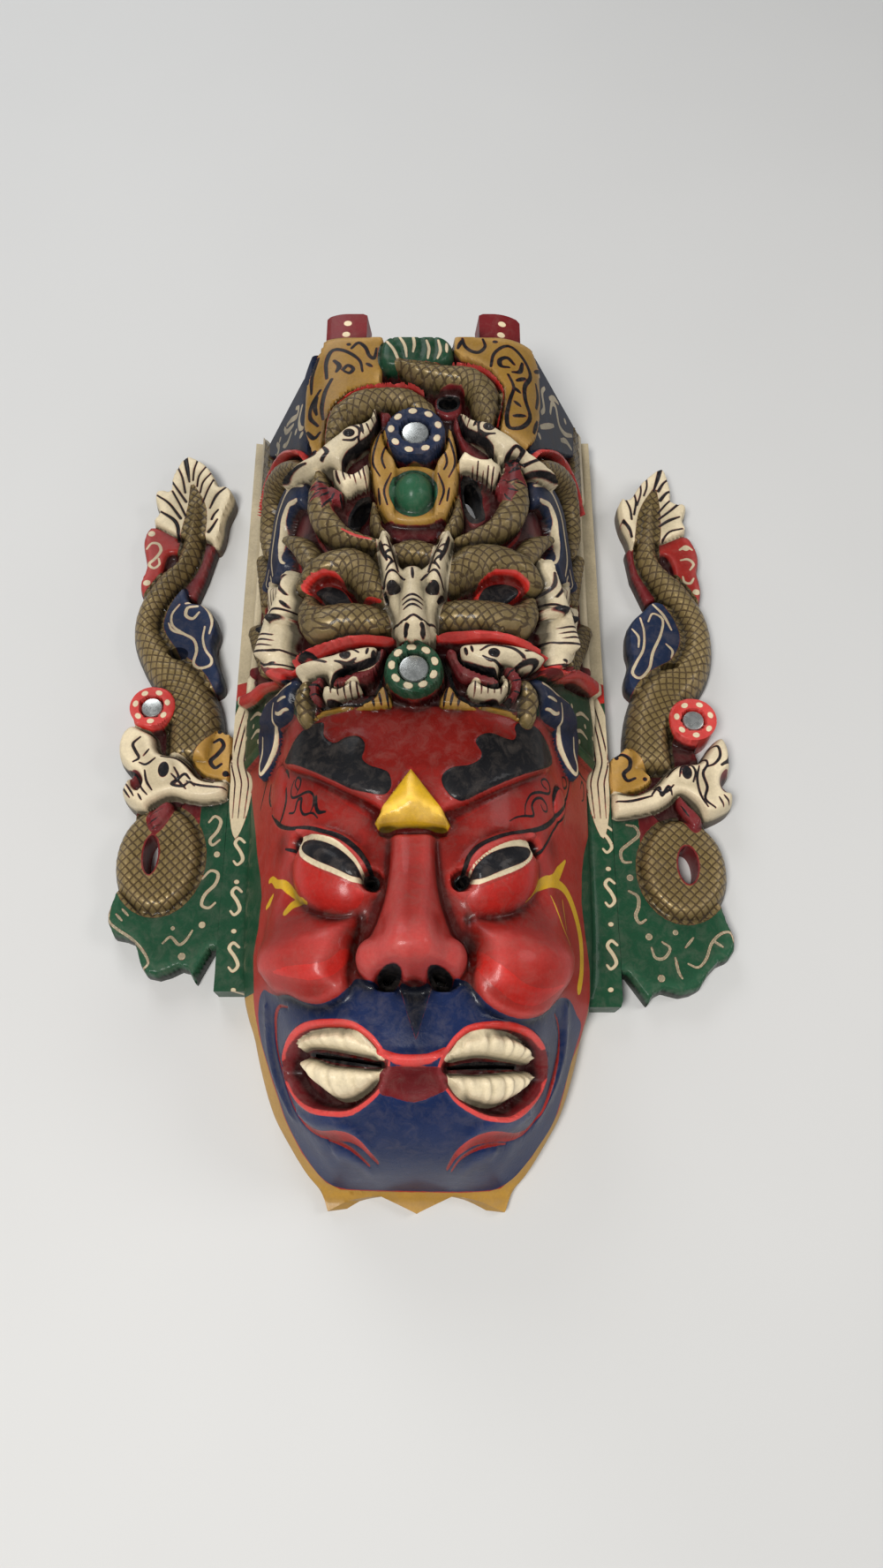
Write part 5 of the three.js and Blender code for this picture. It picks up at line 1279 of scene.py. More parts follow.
# Painted shade with old dirt: the colour is darkened where the surface lies below its surroundings
deep = calc(aged_and_lit, "MINIMUM", calc(aged_and_lit, "MAXIMUM", calc(aged_and_lit, "*", gi["Hollow"], 0.42), 0.0), 0.8)
value = calc(aged_and_lit, "*", value, calc(aged_and_lit, "-", 1.0, deep))
hsv = aged_and_lit.nodes.new("ShaderNodeHueSaturation")
aged_and_lit.links.new(gi["Color"], hsv.inputs["Color"])
aged_and_lit.links.new(value, hsv.inputs["Value"])
speckle = calc(aged_and_lit, "*", calc(aged_and_lit, "GREATER_THAN", noise(aged_and_lit, 1500, 2), 0.66), 0.25)
dusty = calc(aged_and_lit, "+", calc(aged_and_lit, "MAXIMUM", calc(aged_and_lit, "-", streak, 0.45), 0.0),
    calc(aged_and_lit, "*", speckle, 0.3))
dusty = calc(aged_and_lit, "*", dusty, gi["Dust"])
# Dark patches: glazing in some places, painted shade in others
glazing_and_shade = calc(aged_and_lit, "MINIMUM", calc(aged_and_lit, "*", gi["Dark"], calc(aged_and_lit, "+", 0.35, streak)), 0.85)
dark = add(aged_and_lit.nodes, "ShaderNodeHueSaturation", inputs={"Value": 0.34, "Saturation": 1.08})
aged_and_lit.links.new(hsv.outputs[0], dark.inputs["Color"])
color = mixed(aged_and_lit, dusty, mixed(aged_and_lit, glazing_and_shade, hsv.outputs[0], dark.outputs[0]), (0.3, 0.24, 0.2, 1))
# Painted highlight on high, rubbed edges: the colour is lightened there
high = calc(aged_and_lit, "-", calc(aged_and_lit, "*", gi["Hollow"], -0.9),
            calc(aged_and_lit, "+", 0.12, calc(aged_and_lit, "*", streak, 0.5)))
rub_and_highlight = calc(aged_and_lit, "MINIMUM", calc(aged_and_lit, "*", calc(aged_and_lit, "MAXIMUM", high, 0.0), gi["Rub"]), 0.5)
bright = add(aged_and_lit.nodes, "ShaderNodeHueSaturation", inputs={"Value": 1.7, "Saturation": 0.9})
aged_and_lit.links.new(color, bright.inputs["Color"])
aged_and_lit.links.new(mixed(aged_and_lit, rub_and_highlight, color, bright.outputs[0]), go["Color"])
rough = calc(aged_and_lit, "+", gi["Roughness"], calc(aged_and_lit, "*", calc(aged_and_lit, "-", streak, 0.5), 0.3))
rough = calc(aged_and_lit, "MAXIMUM", calc(aged_and_lit, "+", rough, calc(aged_and_lit, "*", dusty, 0.5)), 0.08)
aged_and_lit.links.new(calc(aged_and_lit, "MINIMUM", rough, 1.0), go["Roughness"])
aged_and_lit.links.new(calc(aged_and_lit, "+", calc(aged_and_lit, "*", grain, 0.35), calc(aged_and_lit, "*", streak, 0.65)), go["Height"])


def attribute(tree, name):
    return add(tree.nodes, "ShaderNodeAttribute", attribute_name=name).outputs["Fac"]


def carved_paint(name):
    """Layers of flat hand paint over carved wood, with a thin satin varnish."""
    material = bpy.data.materials.new(name)
    material.use_nodes = True
    tree = material.node_tree
    shader = tree.nodes["Principled BSDF"]
    color, rough = (*SHADES["red"][0], 1.0), SHADES["red"][1]
    masks = {}
    for coat in COATS[1:]:
        wobble = 0.35 if coat in ("black", "cream", "yellow") else 0.5
        mask = place(tree, brushed, Distance=attribute(tree, "paint_" + coat), Wobble=wobble)["Mask"]
        masks[coat] = mask
        color = mixed(tree, mask, color, (*SHADES[coat][0], 1.0))
        rough = mixed(tree, mask, rough, SHADES[coat][1], "FLOAT")
    along, across = attribute(tree, "paint_along"), attribute(tree, "paint_across")
    cuts = []
    for operation in "+-":
        run = calc(tree, "/", calc(tree, operation, along, across), SCALE_PITCH)
        jitter = calc(tree, "*", calc(tree, "-", noise(tree, 260, 2), 0.5), 0.22)
        cuts.append(calc(tree, "PINGPONG", calc(tree, "+", run, jitter), 0.5))
    near = calc(tree, "MINIMUM", *cuts)
    groove = add(tree.nodes, "ShaderNodeMapRange", interpolation_type="SMOOTHSTEP",
                 inputs={"From Min": 0.05, "From Max": 0.17, "To Min": 1.0, "To Max": 0.0})
    tree.links.new(near, groove.inputs["Value"])
    groove = calc(tree, "*", groove.outputs[0], masks["gold"])
    color = mixed(tree, calc(tree, "*", groove, 0.82), color, (0.035, 0.02, 0.01, 1))
    sheen = calc(tree, "*", calc(tree, "-", 1.0, groove), masks["gold"])
    hollow, tone, dark = (attribute(tree, "paint_" + key) for key in ("hollow", "tone", "dark"))
    out = place(tree, aged_and_lit, Color=color, Hollow=hollow, Tone=tone, Dark=dark, Roughness=rough, Dust=0.4,
        Rub=0.5)
    tree.links.new(out["Color"], shader.inputs["Base Color"])
    tree.links.new(out["Roughness"], shader.inputs["Roughness"])
    tree.links.new(calc(tree, "*", sheen, 0.35), shader.inputs["Metallic"])
    height = calc(tree, "-", out["Height"], calc(tree, "*", groove, 1.4))
    strokes = calc(tree, "+", masks["black"], masks["cream"])
    height = calc(tree, "+", height, calc(tree, "*", strokes, 0.25))
    bump = add(tree.nodes, "ShaderNodeBump", inputs={"Strength": 0.55, "Distance": 0.0003})
    tree.links.new(height, bump.inputs["Height"])
    tree.links.new(bump.outputs[0], shader.inputs["Normal"])
    shader.inputs["Specular IOR Level"].default_value = 0.3
    shader.inputs["IOR"].default_value = 1.3
    shader.inputs["Coat Weight"].default_value = 0.12
    shader.inputs["Coat Roughness"].default_value = 0.14
    return material


def bare_wood(name, shade):
    """Plain dark wood of the hollowed back, with gouge marks left across the grain."""
    material = bpy.data.materials.new(name)
    material.use_nodes = True
    tree = material.node_tree
    shader = tree.nodes["Principled BSDF"]
    place_at = add(tree.nodes, "ShaderNodeTexCoord").outputs["Object"]
    stretch = add(tree.nodes, "ShaderNodeMapping", inputs={"Scale": (1.0, 0.12, 1.0)})
    tree.links.new(place_at, stretch.inputs["Vector"])
    fibre = noise(tree, 420, 5, 0.65, stretch.outputs[0], 0.4)
    gouge = add(tree.nodes, "ShaderNodeTexVoronoi", inputs={"Scale": 95.0})
    tree.links.new(place_at, gouge.inputs["Vector"])
    color = mixed(tree, fibre, (*[v * 0.55 for v in shade], 1), (*[min(1, v * 1.5) for v in shade], 1))
    out = place(tree, aged_and_lit, Color=color, Hollow=attribute(tree, "paint_hollow"), Roughness=0.7, Dust=0.5,
        Rub=0.1)
    tree.links.new(out["Color"], shader.inputs["Base Color"])
    tree.links.new(out["Roughness"], shader.inputs["Roughness"])
    bump = add(tree.nodes, "ShaderNodeBump", inputs={"Strength": 0.7, "Distance": 0.0008})
    height = calc(tree, "+", calc(tree, "*", gouge.outputs["Distance"], 0.8), calc(tree, "*", fibre, 0.4))
    tree.links.new(height, bump.inputs["Height"])
    tree.links.new(bump.outputs[0], shader.inputs["Normal"])
    return material


body_paint = carved_paint("painted_carving")
back_wood = bare_wood("hollowed_back_wood", (0.16, 0.085, 0.045))
mask_body.data.materials.append(body_paint)
mask_body.data.materials.append(back_wood)
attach(mask_body, "root")
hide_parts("mask_body")

# The wings
# A flat dragon at each side, sawn from a soft wood board, carved in low relief and painted like the mask.
# Its straight inner edge lies against the mask's flange and post, with a dark hair line between them.
WING_EDGE, WING_TOP, WING_MIRROR_R = 91.3, 15.0, 5.2


def ring_of(x, y, rx, ry, n=40):
    turns = [2 * math.pi * i / n for i in range(n)]
    return [(x + rx * math.cos(a), y + ry * math.sin(a)) for a in turns]


def band(stations):
    """Outline of a band of changing width along a smooth line: stations are x, y, half-width."""
    mid = spline(stations, fine=6)
    along = np.gradient(mid[:, :2], axis=0)
    along /= np.hypot(*along.T)[:, None] + 1e-9
    across = np.stack([-along[:, 1], along[:, 0]], 1) * mid[:, 2:3]
    return np.vstack([mid[:, :2] + across, (mid[:, :2] - across)[::-1]])


WINGS = {
    "left": dict(s=-1, edge=(112, 217), ring=(121.5, 154, 22, 28), slot=(124.6, 155, 3.5, 9.5),
        medallion=(131, 230, 10.5),
        foot=[(101, 97), (104, 102), (108, 103), (113, 100.5), (118, 99), (123, 100), (126, 104), (128, 110),
            (130, 115), (135, 117), (140, 118), (143, 124), (143.4, 128), (141, 138)],
        body=[(112, 200, 12), (111, 222, 14), (118, 243, 13), (131, 259, 10), (139, 275, 8.5),
            (138, 290, 8.5), (131, 305, 8), (123, 318, 7), (120.5, 335, 6.5), (120, 350, 5),
            (123.6, 365, 1)],
        head=[(91.3, 183.6), (101, 180.6), (110, 181.6), (118, 183.6), (126, 179.6), (129, 176), (135, 178),
            (140, 182), (143, 187), (141.6, 192), (140, 197), (145.6, 204), (147, 212), (145, 219),
            (140, 222.6), (134, 220), (128, 216), (125, 208), (116, 206), (110.4, 202), (106.6, 197),
            (101, 193.6), (91.3, 192.6)],
        patch=[(91.3, 192), (97, 193.4), (103, 195), (107.7, 199), (109.6, 203), (106.5, 210), (101.6, 216),
            (98.6, 220.8), (94.4, 218.4), (91.3, 216.4)],
        fin=[(131, 262), (133, 286), (123, 303), (119, 294), (112, 292), (106, 286), (103.4, 277),
            (104.8, 268), (101.6, 257), (99.4, 251), (99.8, 243.6), (112, 242)], fin_hole=(122, 262, 5, 4),
        outer=[(140, 292), (146, 300), (147, 307), (145, 315), (146.4, 323), (148, 330), (147, 337),
            (142, 341), (126, 332), (120, 318), (130, 300)],
        inner=[(117, 297), (113, 310), (109.4, 326), (108, 331), (118, 338), (128, 318), (130, 298)],
        tail=[(124, 330), (142.4, 341), (140.6, 348), (143.6, 356), (143.4, 361.6), (139, 363), (136, 362.6),
            (136, 370), (133.4, 378), (129, 385), (121.6, 382.6), (115.6, 377.6), (111.6, 371),
            (109.6, 365.6), (104.8, 365.4), (101.4, 361), (101.6, 355), (104.4, 346), (105.4, 335),
            (108, 328), (114, 331)],
        collar=[(120, 183), (115.6, 180), (117.4, 172.6), (122, 166), (126, 166.6), (128.4, 172.6),
            (126, 178.4)],
        mouth=[(139, 197.6), (134.6, 196.8), (132, 192), (133.8, 187), (137, 188.6), (138.4, 193)],
        eye=(121.8, 196.6, 2.6, 4.0),
        hollow=[(135, 311), (128.6, 313), (127.4, 318), (129, 323), (134, 322)],
        dots=[(143.3, 335.6), (142.8, 305.2)],
        ribs=[([(129.4, 384.6), (127.6, 377), (125.4, 367)], (1.3, 1.2, 0.5)),
            ([(133, 377.5), (129.5, 370), (127, 360)], (0.5, 0.6)),
            ([(135, 367.5), (130, 360), (126, 354)], (0.5, 0.7)),
            ([(134, 361), (129, 352), (125.5, 345)], (0.5, 0.6)),
            ([(142, 358.3), (135, 353), (128, 343.5)], (0.5, 0.8)),
            ([(140, 348.5), (132, 343), (129, 338), (128.3, 331)], (0.5, 1.0, 0.9)),
            ([(122, 382), (123.5, 375), (123.5, 368)], ()), ([(117, 377.5), (120.5, 371), (121, 364)], ()),
            ([(114, 373), (118, 367), (119, 360)], ()), ([(112.5, 368.5), (115, 362), (117, 354)], ()),
            ([(105, 364), (110, 358.5), (113, 350)], (0.5, 0.8, 0.5)),
            ([(108.5, 349), (110.5, 346), (111.5, 343)], (0.5, 0.7)),
            ([(108.5, 343), (111, 337.5), (112.5, 335)], (0.5, 0.9))],
        lines=dict(black={0.8: [[(145, 219.4), (147.2, 211), (145.6, 203), (141, 198.6), (136, 195.6),
            (133, 191)]], 0.75: [[(134.8, 214), (138, 210.4), (136.4, 206.6), (134.4, 203), (137, 201)]],
            0.6: [[(110.5, 191), (104, 188.8), (92, 187.6)], [(118, 194.6), (114, 190.6), (110.6, 187)],
                [(126.6, 186.4), (129.6, 191), (131, 196.6)], [(134, 200.6), (130.6, 199.6), (126.6, 203)]],
            0.7: [[(124, 204), (116, 202.6), (110, 198), (105, 192.6), (98, 190.4)],
                [(117, 198), (114.6, 193), (117.6, 189.6), (112.4, 188.4), (109, 190.6), (106.6, 188.6)],
                [(116, 190), (112, 194.6), (109, 192)]],
            0.5: [[(128.6, 184), (132, 188), (133, 192)], [(141.6, 189), (138.6, 185), (137, 183)],
                [(139.6, 190), (136.6, 186), (135, 183.4)], [(133, 184.6), (131, 181.4)],
                [(132.4, 204), (130, 207.6)]],
            1.1: [[(100, 213), (97, 214.5), (95.2, 211), (98, 206.5), (101, 203), (98.5, 199.6),
                (95.6, 201.6)]],
            0.4: [[(127, 170), (122, 173.6)], [(125.6, 167.6), (121.6, 169.6)],
                [(126.6, 174), (121, 177.6)]]},
            cream={0.7: [[(124, 291), (127.4, 285), (126.4, 278.6), (121, 274.2), (115, 270.4), (113, 264),
                (114, 257), (110.6, 254.2), (105.6, 255.8), (105.2, 259.6), (108.6, 264.6), (110.4, 271),
                (110, 278)]],
                0.75: [[(121, 291.6), (115, 292.4), (109.4, 288), (106.6, 281), (107.4, 274)],
                    [(99.6, 172.4), (97, 175.4), (94, 173), (95.2, 168), (98.4, 163.6), (97, 161),
                     (93.8, 163.6)],
                    [(100.4, 144.6), (97, 148.4), (93.4, 147), (94.2, 142), (98.6, 137), (99.8, 132),
                     (96.4, 130.6), (93.6, 133)]],
                0.8: [[(113.6, 286.4), (116.6, 282.6), (120.2, 284.6), (119.6, 289), (114.6, 290)],
                    [(145, 326), (142.6, 329.6), (139, 329), (137.4, 325), (140, 320), (142.8, 316.6),
                     (140, 314.2), (137.4, 316.6), (138, 320)]],
                0.6: [[(128.6, 280), (126.4, 276), (121, 273.6)]]},
            wash={0.55: [[(141.6, 131), (141.6, 124.6), (137, 120.4), (130.6, 116.4), (124.6, 110.6),
                (121.6, 105), (124.6, 102.2), (128, 105)]],
                0.6: [[(116, 114), (112.6, 117), (108.6, 113.4), (105.4, 115.6), (103, 120)]],
                0.5: [[(138.6, 127.6), (135.6, 124.6)], [(131, 111.6), (127.6, 108)],
                    [(136, 130), (133, 127)]]}),
        spots=dict(cream=[(94.6, 156.4, 1.4), (98.8, 122.6, 1.5)], wash=[(106.8, 108, 1.6), (112, 121, 0.9)],
            black=[(97.6, 218.6, 1.2), (93.2, 196.4, 1.6)])),
    "right": dict(s=1, edge=(101, 208), ring=(123, 149, 22, 26.5), slot=(124.6, 150, 4.6, 9.2),
        medallion=(133, 223, 11),
        foot=[(103, 87), (106, 91), (110, 93), (114, 92), (118, 91), (123, 92), (127, 94), (131, 100),
            (136, 105), (141, 107), (144, 111), (144.6, 117), (142, 124), (140, 132)],
        body=[(112, 196, 12), (112, 218, 12), (120, 238, 14), (134, 252, 11), (140, 268, 9), (138, 284, 9),
            (129, 301, 9), (119, 318, 7), (120, 338, 6.5), (122, 350, 5), (125, 362, 1)],
        head=[(91.3, 174), (102, 174), (112, 176.6), (119, 180.6), (124, 184), (130, 180), (135, 173),
            (144, 176), (149.6, 180.6), (150, 187), (146.6, 192), (150, 198), (150.4, 209), (147.4, 215.6),
            (143, 214.6), (138, 208), (133.6, 202.6), (125, 202), (118, 197), (112, 190.6), (102, 186),
            (91.3, 186.6)],
        patch=[(91.3, 186), (102.4, 187), (108.6, 189.6), (112, 194.4), (108, 200), (104.6, 206.6),
            (100.6, 211.4), (96, 207.6), (91.3, 203)],
        fin=[(133, 258), (134, 284), (121, 294), (113, 288), (106, 280), (104.4, 268), (105.4, 260),
            (102.6, 250), (104.4, 242.4), (116, 238)], fin_hole=(124.6, 254.4, 4.5, 2.6),
        outer=[(142, 290), (145.6, 298), (146, 304), (145, 312), (146.4, 320), (145, 328), (139.4, 335),
            (122, 328), (120, 314), (132, 296)],
        inner=[(116, 294), (110, 311), (108, 327), (118, 334), (124, 316), (132, 298)],
        tail=[(120, 326), (139.4, 335), (139.4, 343), (142, 351), (139.4, 354), (134.4, 355), (134.6, 362),
            (133, 372), (130, 377.4), (124, 373.4), (117.4, 367), (113.4, 360.6), (110.6, 357), (107, 357.6),
            (104.8, 352), (106, 342), (109, 333), (110.6, 326), (114, 328)],
        collar=[(123.4, 186), (129.6, 179.4), (134.4, 172), (130, 165.6), (125.6, 169.4), (120.8, 180.4)],
        mouth=[(149, 199), (144.6, 196), (143, 190), (145, 186), (148.6, 187), (147, 192)],
        eye=(127.2, 195, 2.4, 3.4),
        hollow=[(126, 322), (129.6, 321), (132, 314), (131.6, 306), (127.6, 309), (124.6, 315)],
        dots=[(142.6, 299.6), (139.4, 326.6)],
        ribs=[([(129.4, 376.4), (127.2, 369), (124.4, 361)], (1.3, 1.1, 0.5)),
            ([(132.8, 368.5), (130, 366), (127, 361)], (0.5, 0.9)),
            ([(134, 361), (131, 359.5), (127.5, 355)], (0.6, 1.0)),
            ([(133, 355), (130, 352), (126, 347)], (0.5, 0.6)),
            ([(137.5, 353), (132, 348), (126, 343)], (0.7, 0.6)),
            ([(137, 344.5), (131, 342), (126, 338.5)], (0.5, 0.9, 0.7)),
            ([(138, 337), (131, 335), (127, 330)], (0.5, 0.6)), ([(121, 371), (121, 364), (119, 358)], ()),
            ([(117.5, 367), (117.5, 360), (115, 352)], ()),
            ([(113.5, 361), (114.5, 354), (113, 346)], (0.5, 0.6)),
            ([(108.5, 357), (111, 350), (111.5, 343)], (0.5, 0.6)),
            ([(107, 343), (110, 337), (111, 332)], (0.5, 0.8, 0.5))],
        lines=dict(black={1.1: [[(147.6, 216), (150, 209), (148.6, 202.6), (144.4, 199.4)]],
            0.7: [[(139, 210), (143.4, 209), (144, 204), (141, 200), (137.6, 198.6)],
                [(136, 205), (137.6, 200), (135, 195), (136.4, 188), (135, 182), (139.4, 177.6)],
                [(118, 193.6), (123, 199), (129, 199.6), (131.4, 195.6), (130, 190.6)]],
            0.6: [[(133.6, 199), (132, 192), (133, 184), (136, 178)],
                [(111, 187.6), (116, 185), (120.6, 189)]], 0.65: [[(93, 180.6), (100, 180.8), (110, 183.4)]],
            0.75: [[(110, 184), (113.4, 188.4), (114.6, 183.6), (118, 188.4), (119.6, 184.6)]],
            0.5: [[(123.6, 193), (125, 198), (129, 198.6)], [(144, 184), (146.6, 180)],
                [(141.6, 183), (143.6, 178.6)]],
            1.0: [[(94.6, 205.4), (98, 206.4), (101.4, 204), (101, 199.6), (98, 196.5), (99.6, 192.9),
                (103.4, 194.2)]],
            0.45: [[(124, 182.6), (128.6, 177)], [(123.4, 179), (127, 173)], [(127, 182), (131.6, 174.6)]]},
            cream={0.7: [[(116, 281), (118.6, 285.6), (123.4, 282), (121.6, 273), (117, 263), (114.6, 254),
                (109.6, 248.6), (106, 251.4), (108.4, 257.4), (112.4, 265), (113.4, 275), (112, 283)],
                [(136, 319), (140, 319.6), (142.6, 316.6), (140.4, 313)],
                [(136.4, 309), (137, 305.6), (140, 305), (142, 308)]],
                0.65: [[(119, 291), (124, 284.6), (127.4, 276)]],
                0.55: [[(107.4, 276.6), (110.4, 272), (110, 266)], [(124, 268), (127, 264), (126, 260)]],
                0.8: [[(136, 325.4), (139.6, 327.4), (142.6, 325.4)]]},
            wash={0.75: [[(98, 171), (102, 170), (103.4, 166), (99, 162), (94.6, 158), (95.2, 153),
                (99, 152.6)], [(97, 138.6), (101, 136), (101, 131), (99.4, 127), (101, 123.4), (104, 125)]],
                0.6: [[(105.6, 112), (107, 107.4), (111, 107.2), (114, 111.6), (110.6, 114.6)],
                    [(116, 107.4), (117, 101), (118.4, 98)],
                    [(121.6, 104.6), (126, 103), (130, 107), (133, 114), (137.6, 118.4), (142, 119),
                     (143.4, 114.6)]], 0.55: [[(121, 112), (125, 116.6)], [(134, 115), (138, 112.4)]]}),
        spots=dict(cream=[], wash=[(98, 145, 1.5), (104.8, 117, 1.5), (109, 98, 1.6), (117, 119, 1.2)],
            black=[(95, 204.6, 1.1), (108, 193.6, 1.1)])),
}


WING_TONES, PLATE_TONES = {"wash": -1.05, "cream": -0.5}, {"red": -0.45, "cream": -0.2}
ROSETTE_RISE = 4


def carved_wing(name, w):
    """From the foot up: wave, ring round a slot, head with its plate, rosette, body, fins and fan tail."""
    s = w["s"]
    edge = sorted((s * (WING_EDGE - 1), s * 152))
    board = Board(*edge, 82, 388, LATTICE, "green")
    lo, hi = w["edge"]
    rx, ry, ra, rb = w["ring"]

    def turned(points):
        p = np.array(points, float)
        return p * np.array([s] + [1] * (p.shape[1] - 1))

    def shape(points, straight=False):
        p = turned(points)
        return ("area", p, None) if straight else ("area", spline(p, True), None)

    foot = [(WING_EDGE - 2, lo), (94, lo - 1), *w["foot"], (132, ry), (104, hi - 20),
        (WING_EDGE - 2, hi - 20)]
    ground = [(104, hi - 46), (136, hi - 44), (136, hi - 2), (130, hi + 22), (112, hi + 20), (104, hi)]
    plates = [
        (shape(foot, True), WING_TOP - 3, 1.5, "green"),
        (shape(ground, True), WING_TOP - 5, 1.5, "crimson"),
        (shape(w["inner"], True), WING_TOP - 6, 1.5, "crimson"),
        (shape(w["outer"]), WING_TOP - 4, 2, "red"),
        (shape(w["fin"]), WING_TOP - 2, 2, "navy"),
        (shape(w["tail"]), WING_TOP - 1, 2, "cream"),
        (shape(ring_of(rx, ry, ra, rb), True), WING_TOP + 1, 7, "gold"),
        (("area", turned(band(w["body"])), None), WING_TOP + 3, 9, "gold"),
        (shape(w["patch"]), WING_TOP - 1, 1.5, "ochre"),
        (shape(w["collar"]), WING_TOP + 2.4, 3, "crimson"),
        (shape(w["head"]), WING_TOP + 3.4, 4, "cream"),
    ]
    for outline, high, soft, coat in plates:
        board.lift(outline, high, -soft)
        if coat != "green":
            board.paint(outline, coat, tone=PLATE_TONES.get(coat))
    # Scales follow the winding body, and run straight over the ring
    way = line(turned([p[:2] for p in w["body"]]), 15.0)
    at, d, along, side, _ = board.measure(way)
    on = board.coat["gold"][at] > -0.3
    mask = on & (board.Y[at] > ry + rb - 6)
    board.along[at] = np.where(mask, along, board.along[at])
    board.across[at] = np.where(mask, side, board.across[at])
    mx, my, mr = w["medallion"]
    rosette = oval(s * mx, my, mr + 1)
    board.lift(rosette, WING_TOP + ROSETTE_RISE, 1.6, "set").paint(rosette, "scarlet", tone=-0.2)
    for k in range(7):
        a = 2 * math.pi * (k + 0.3) / 7
        x, y = s * mx + (mr - 2.6) * math.cos(a), my + (mr - 2.6) * math.sin(a)
        board.paint(oval(x, y, 1.7, 1.3, math.degrees(a) + 90), "cream", fine=True)
    hollow = shape(w["hollow"])
    board.cut(hollow, 4, 3).paint(hollow, "crimson", tone=-0.5)
    for points, widths in w["ribs"]:
        rib = line(turned(points), *widths)
        board.cut(rib, 0.8, 1.4).paint(rib, "black", fine=True)
    mouth = shape(w["mouth"])
    board.cut(mouth, 4, 2.4).paint(mouth, "crimson")
    ex, ey, ea, eb = w["eye"]
    board.lift(oval(s * ex, ey, ea + 2.2, eb + 2), 1.0, None, "add")
    board.paint(oval(s * ex, ey, ea, eb), "black", fine=True)

    def brushed_on(shape, coat):
        board.paint(shape, "cream" if coat == "wash" else coat, tone=WING_TONES.get(coat), fine=True)

    for coat, widths in w["lines"].items():
        for width, points in [(width, points) for width, lines in widths.items() for points in lines]:
            stroke = line(turned(points), width * 0.6, width, width, width * 0.6)
            brushed_on(stroke, coat)
            if coat == "black":
                board.cut(stroke, 0.35, 1.0)
    for x, y in w["dots"]:
        board.paint(oval(s * x, y, 1.9, 1.7), "cream", fine=True)
    for coat, spots in w["spots"].items():
        for x, y, r in spots:
            brushed_on(oval(s * x, y, r), coat)
    sx, sy, sa, sb = w["slot"]
    board.paint(oval(s * sx, sy, sa + 0.8, sb + 0.8), "crimson", tone=0.4)
    seat = np.hypot(board.X - s * mx, board.Y - my) < WING_MIRROR_R + SEAT_ROOM
    board.h = np.where(seat, WING_TOP + ROSETTE_RISE - MIRROR_SINK - MIRROR_T - GAP, board.h)
    outlines = [p[0][1] for p in plates] + [turned(ring_of(mx, my, mr, mr))]

    def within_wing(x, y):
        d = np.max([inside_outline(points, x, y) for points in outlines], axis=0)
        for cx, cy, ca, cb in (w["slot"], w["fin_hole"]):
            d = np.minimum(d, -inside_oval(s * cx, cy, ca, cb, 0, x, y)[0])
        return np.minimum(d, s * x - WING_EDGE)

    def wing_front(x, y, h):
        return x, y, np.maximum(h, 3.0)

    def wing_back(x, y, h):
        return x, y, 0 * h

    board.h = np.maximum(board.h, 4.0)
    return carved_mesh(name, board, within_wing, wing_front, wing_back, detail=0.18)


for side_name, w in WINGS.items():
    wing = carved_wing(side_name + "_wing_carved", w)
    wing.data.materials.append(body_paint)
    wing.data.materials.append(back_wood)
    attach(wing, "root")
    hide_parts(side_name + "_wing")

# The mirrors
# Four small discs of silvered glass with ground edges, dull with age.
# Each is laid into a round seat, cut in its rosette a little wider than the glass.
silver = bpy.data.materials.new("silvered_glass")
silver.use_nodes = True
tree = silver.node_tree
shader = tree.nodes["Principled BSDF"]
stain = noise(tree, 330, 4, 0.7)
spots = calc(tree, "GREATER_THAN", noise(tree, 900, 2, 0.6), 0.68)
tree.links.new(mixed(tree, stain, (0.42, 0.44, 0.42, 1), (0.72, 0.74, 0.72, 1)), shader.inputs["Base Color"])
rough = calc(tree, "+", calc(tree, "*", stain, 0.35), calc(tree, "*", spots, 0.3))
tree.links.new(calc(tree, "+", 0.1, rough), shader.inputs["Roughness"])
shader.inputs["Metallic"].default_value = 0.9


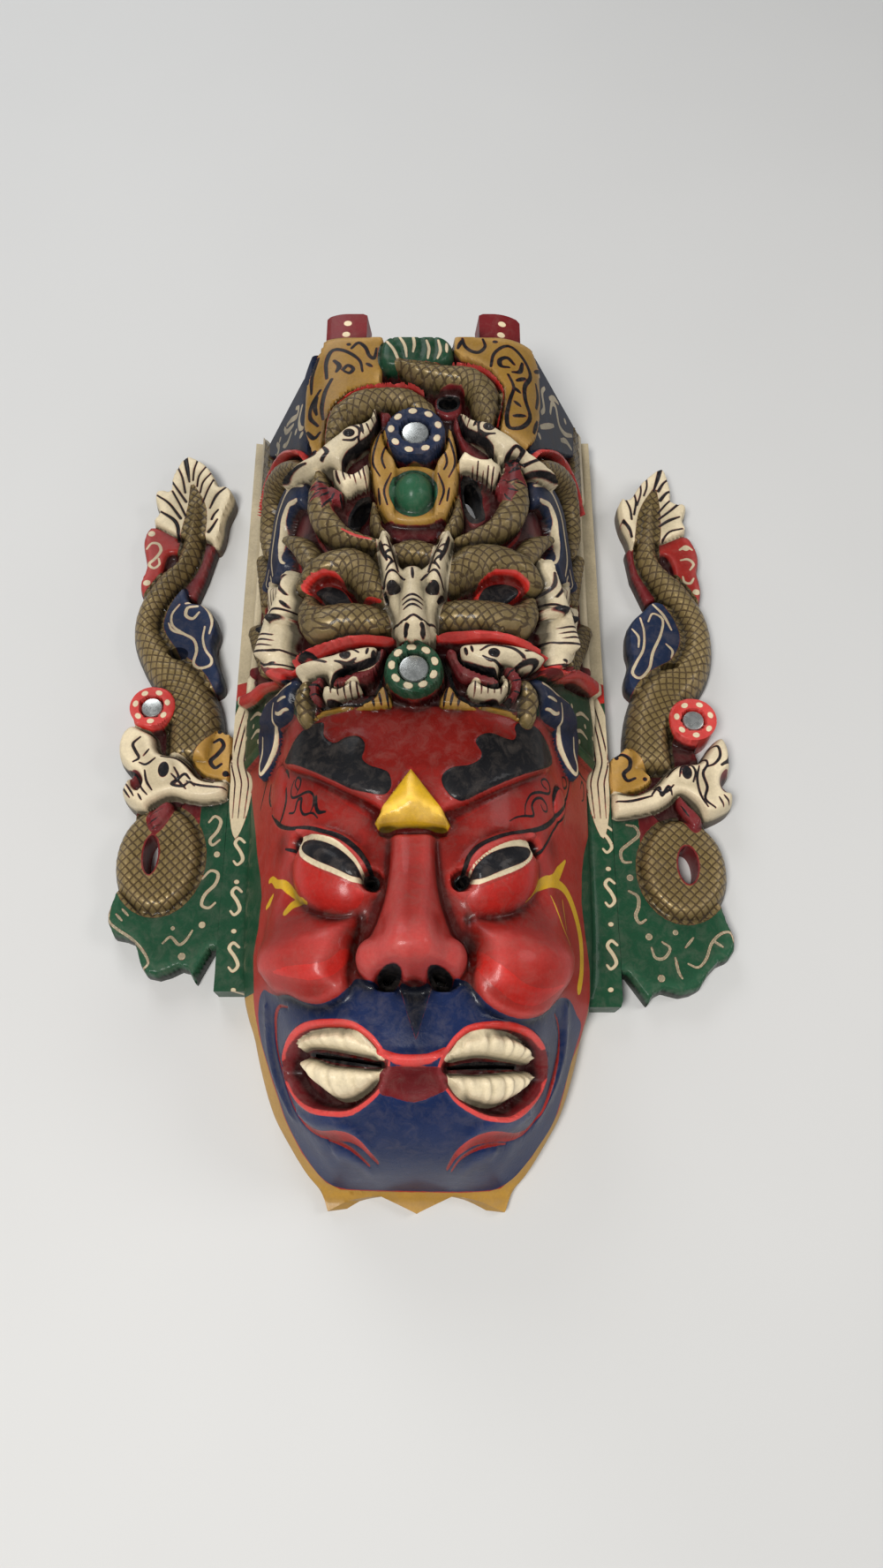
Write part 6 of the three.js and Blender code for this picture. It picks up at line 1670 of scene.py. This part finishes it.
def mirror(node, radius):
    low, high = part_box(node)
    middle, top = (low + high) / 2, high.z
    r, sides = radius / 1000, 64
    profile = [(r * 0.86, top), (r * 0.93, top - 0.0001), (r, top - 0.0006), (r, low.z)]
    turns = [2 * math.pi * i / sides for i in range(sides)]
    points, faces = [], []
    for rr, z in profile:
        points += [(middle.x + rr * math.cos(a), middle.y + rr * math.sin(a), z) for a in turns]
    for ring in range(3):
        for i in range(sides):
            a, b = ring * sides + i, ring * sides + (i + 1) % sides
            faces.append((a, a + sides, b + sides, b))
    faces.append(tuple(range(sides)))
    faces.append(tuple(reversed(range(3 * sides, 4 * sides))))
    mesh = bpy.data.meshes.new(node + "_glass")
    mesh.from_pydata(points, [], faces)
    mesh.materials.append(silver)
    mesh.shade_smooth()
    mesh.set_sharp_from_angle(angle=math.radians(25))
    disc = bpy.data.objects.new(node + "_glass", mesh)
    bpy.context.scene.collection.objects.link(disc)
    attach(disc, "root")
    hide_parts(node)


for node in ("crown_upper_mirror", "crown_lower_mirror"):
    mirror(node, MIRROR_R)
for node in ("left_wing_mirror", "right_wing_mirror"):
    mirror(node, WING_MIRROR_R)

# The floor, the studio light and the camera
bpy.ops.mesh.primitive_plane_add(size=6.0)
floor = bpy.context.object
floor.name = "floor"
ground = bpy.data.materials.new("pale_floor")
ground.use_nodes = True
tree = ground.node_tree
shader = tree.nodes["Principled BSDF"]
pale = mixed(tree, noise(tree, 3, 3), (0.6, 0.6, 0.59, 1), (0.66, 0.66, 0.65, 1))
tree.links.new(pale, shader.inputs["Base Color"])
shader.inputs["Roughness"].default_value = 0.62
floor.data.materials.append(ground)


def lamp(name, place_at, aim, size, power, color=(1, 1, 1)):
    data = bpy.data.lights.new(name, "AREA")
    data.shape, data.size, data.energy, data.color = "DISK", size, power, color
    one = bpy.data.objects.new(name, data)
    one.location = place_at
    one.rotation_euler = (Vector(aim) - Vector(place_at)).to_track_quat("-Z", "Y").to_euler()
    bpy.context.scene.collection.objects.link(one)


lamp("key_light", (-0.35, -0.55, 1.35), (0, 0, 0), 0.45, 17, (1.0, 0.98, 0.95))
lamp("side_light", (1.1, 0.1, 1.0), (0, 0, 0), 0.6, 5, (1.0, 0.98, 0.96))
lamp("top_light", (-0.5, 1.1, 0.9), (0, 0, 0), 0.8, 6, (0.95, 0.97, 1.0))
world = bpy.data.worlds.new("studio")
bpy.context.scene.world = world
world.use_nodes = True
world.node_tree.nodes["Background"].inputs["Color"].default_value = (0.8, 0.82, 0.85, 1)
world.node_tree.nodes["Background"].inputs["Strength"].default_value = 0.22

bpy.context.scene.view_settings.view_transform = "Standard"

camera = bpy.data.objects.new("camera", bpy.data.cameras.new("camera"))
camera.data.lens = 24.95
camera.data.sensor_width = 36.0
camera.location = (0.0093, -0.2091, 0.496)
camera.rotation_euler = (math.radians(22), 0, 0)
camera.data.clip_start = 0.01
bpy.context.scene.collection.objects.link(camera)
bpy.context.scene.camera = camera
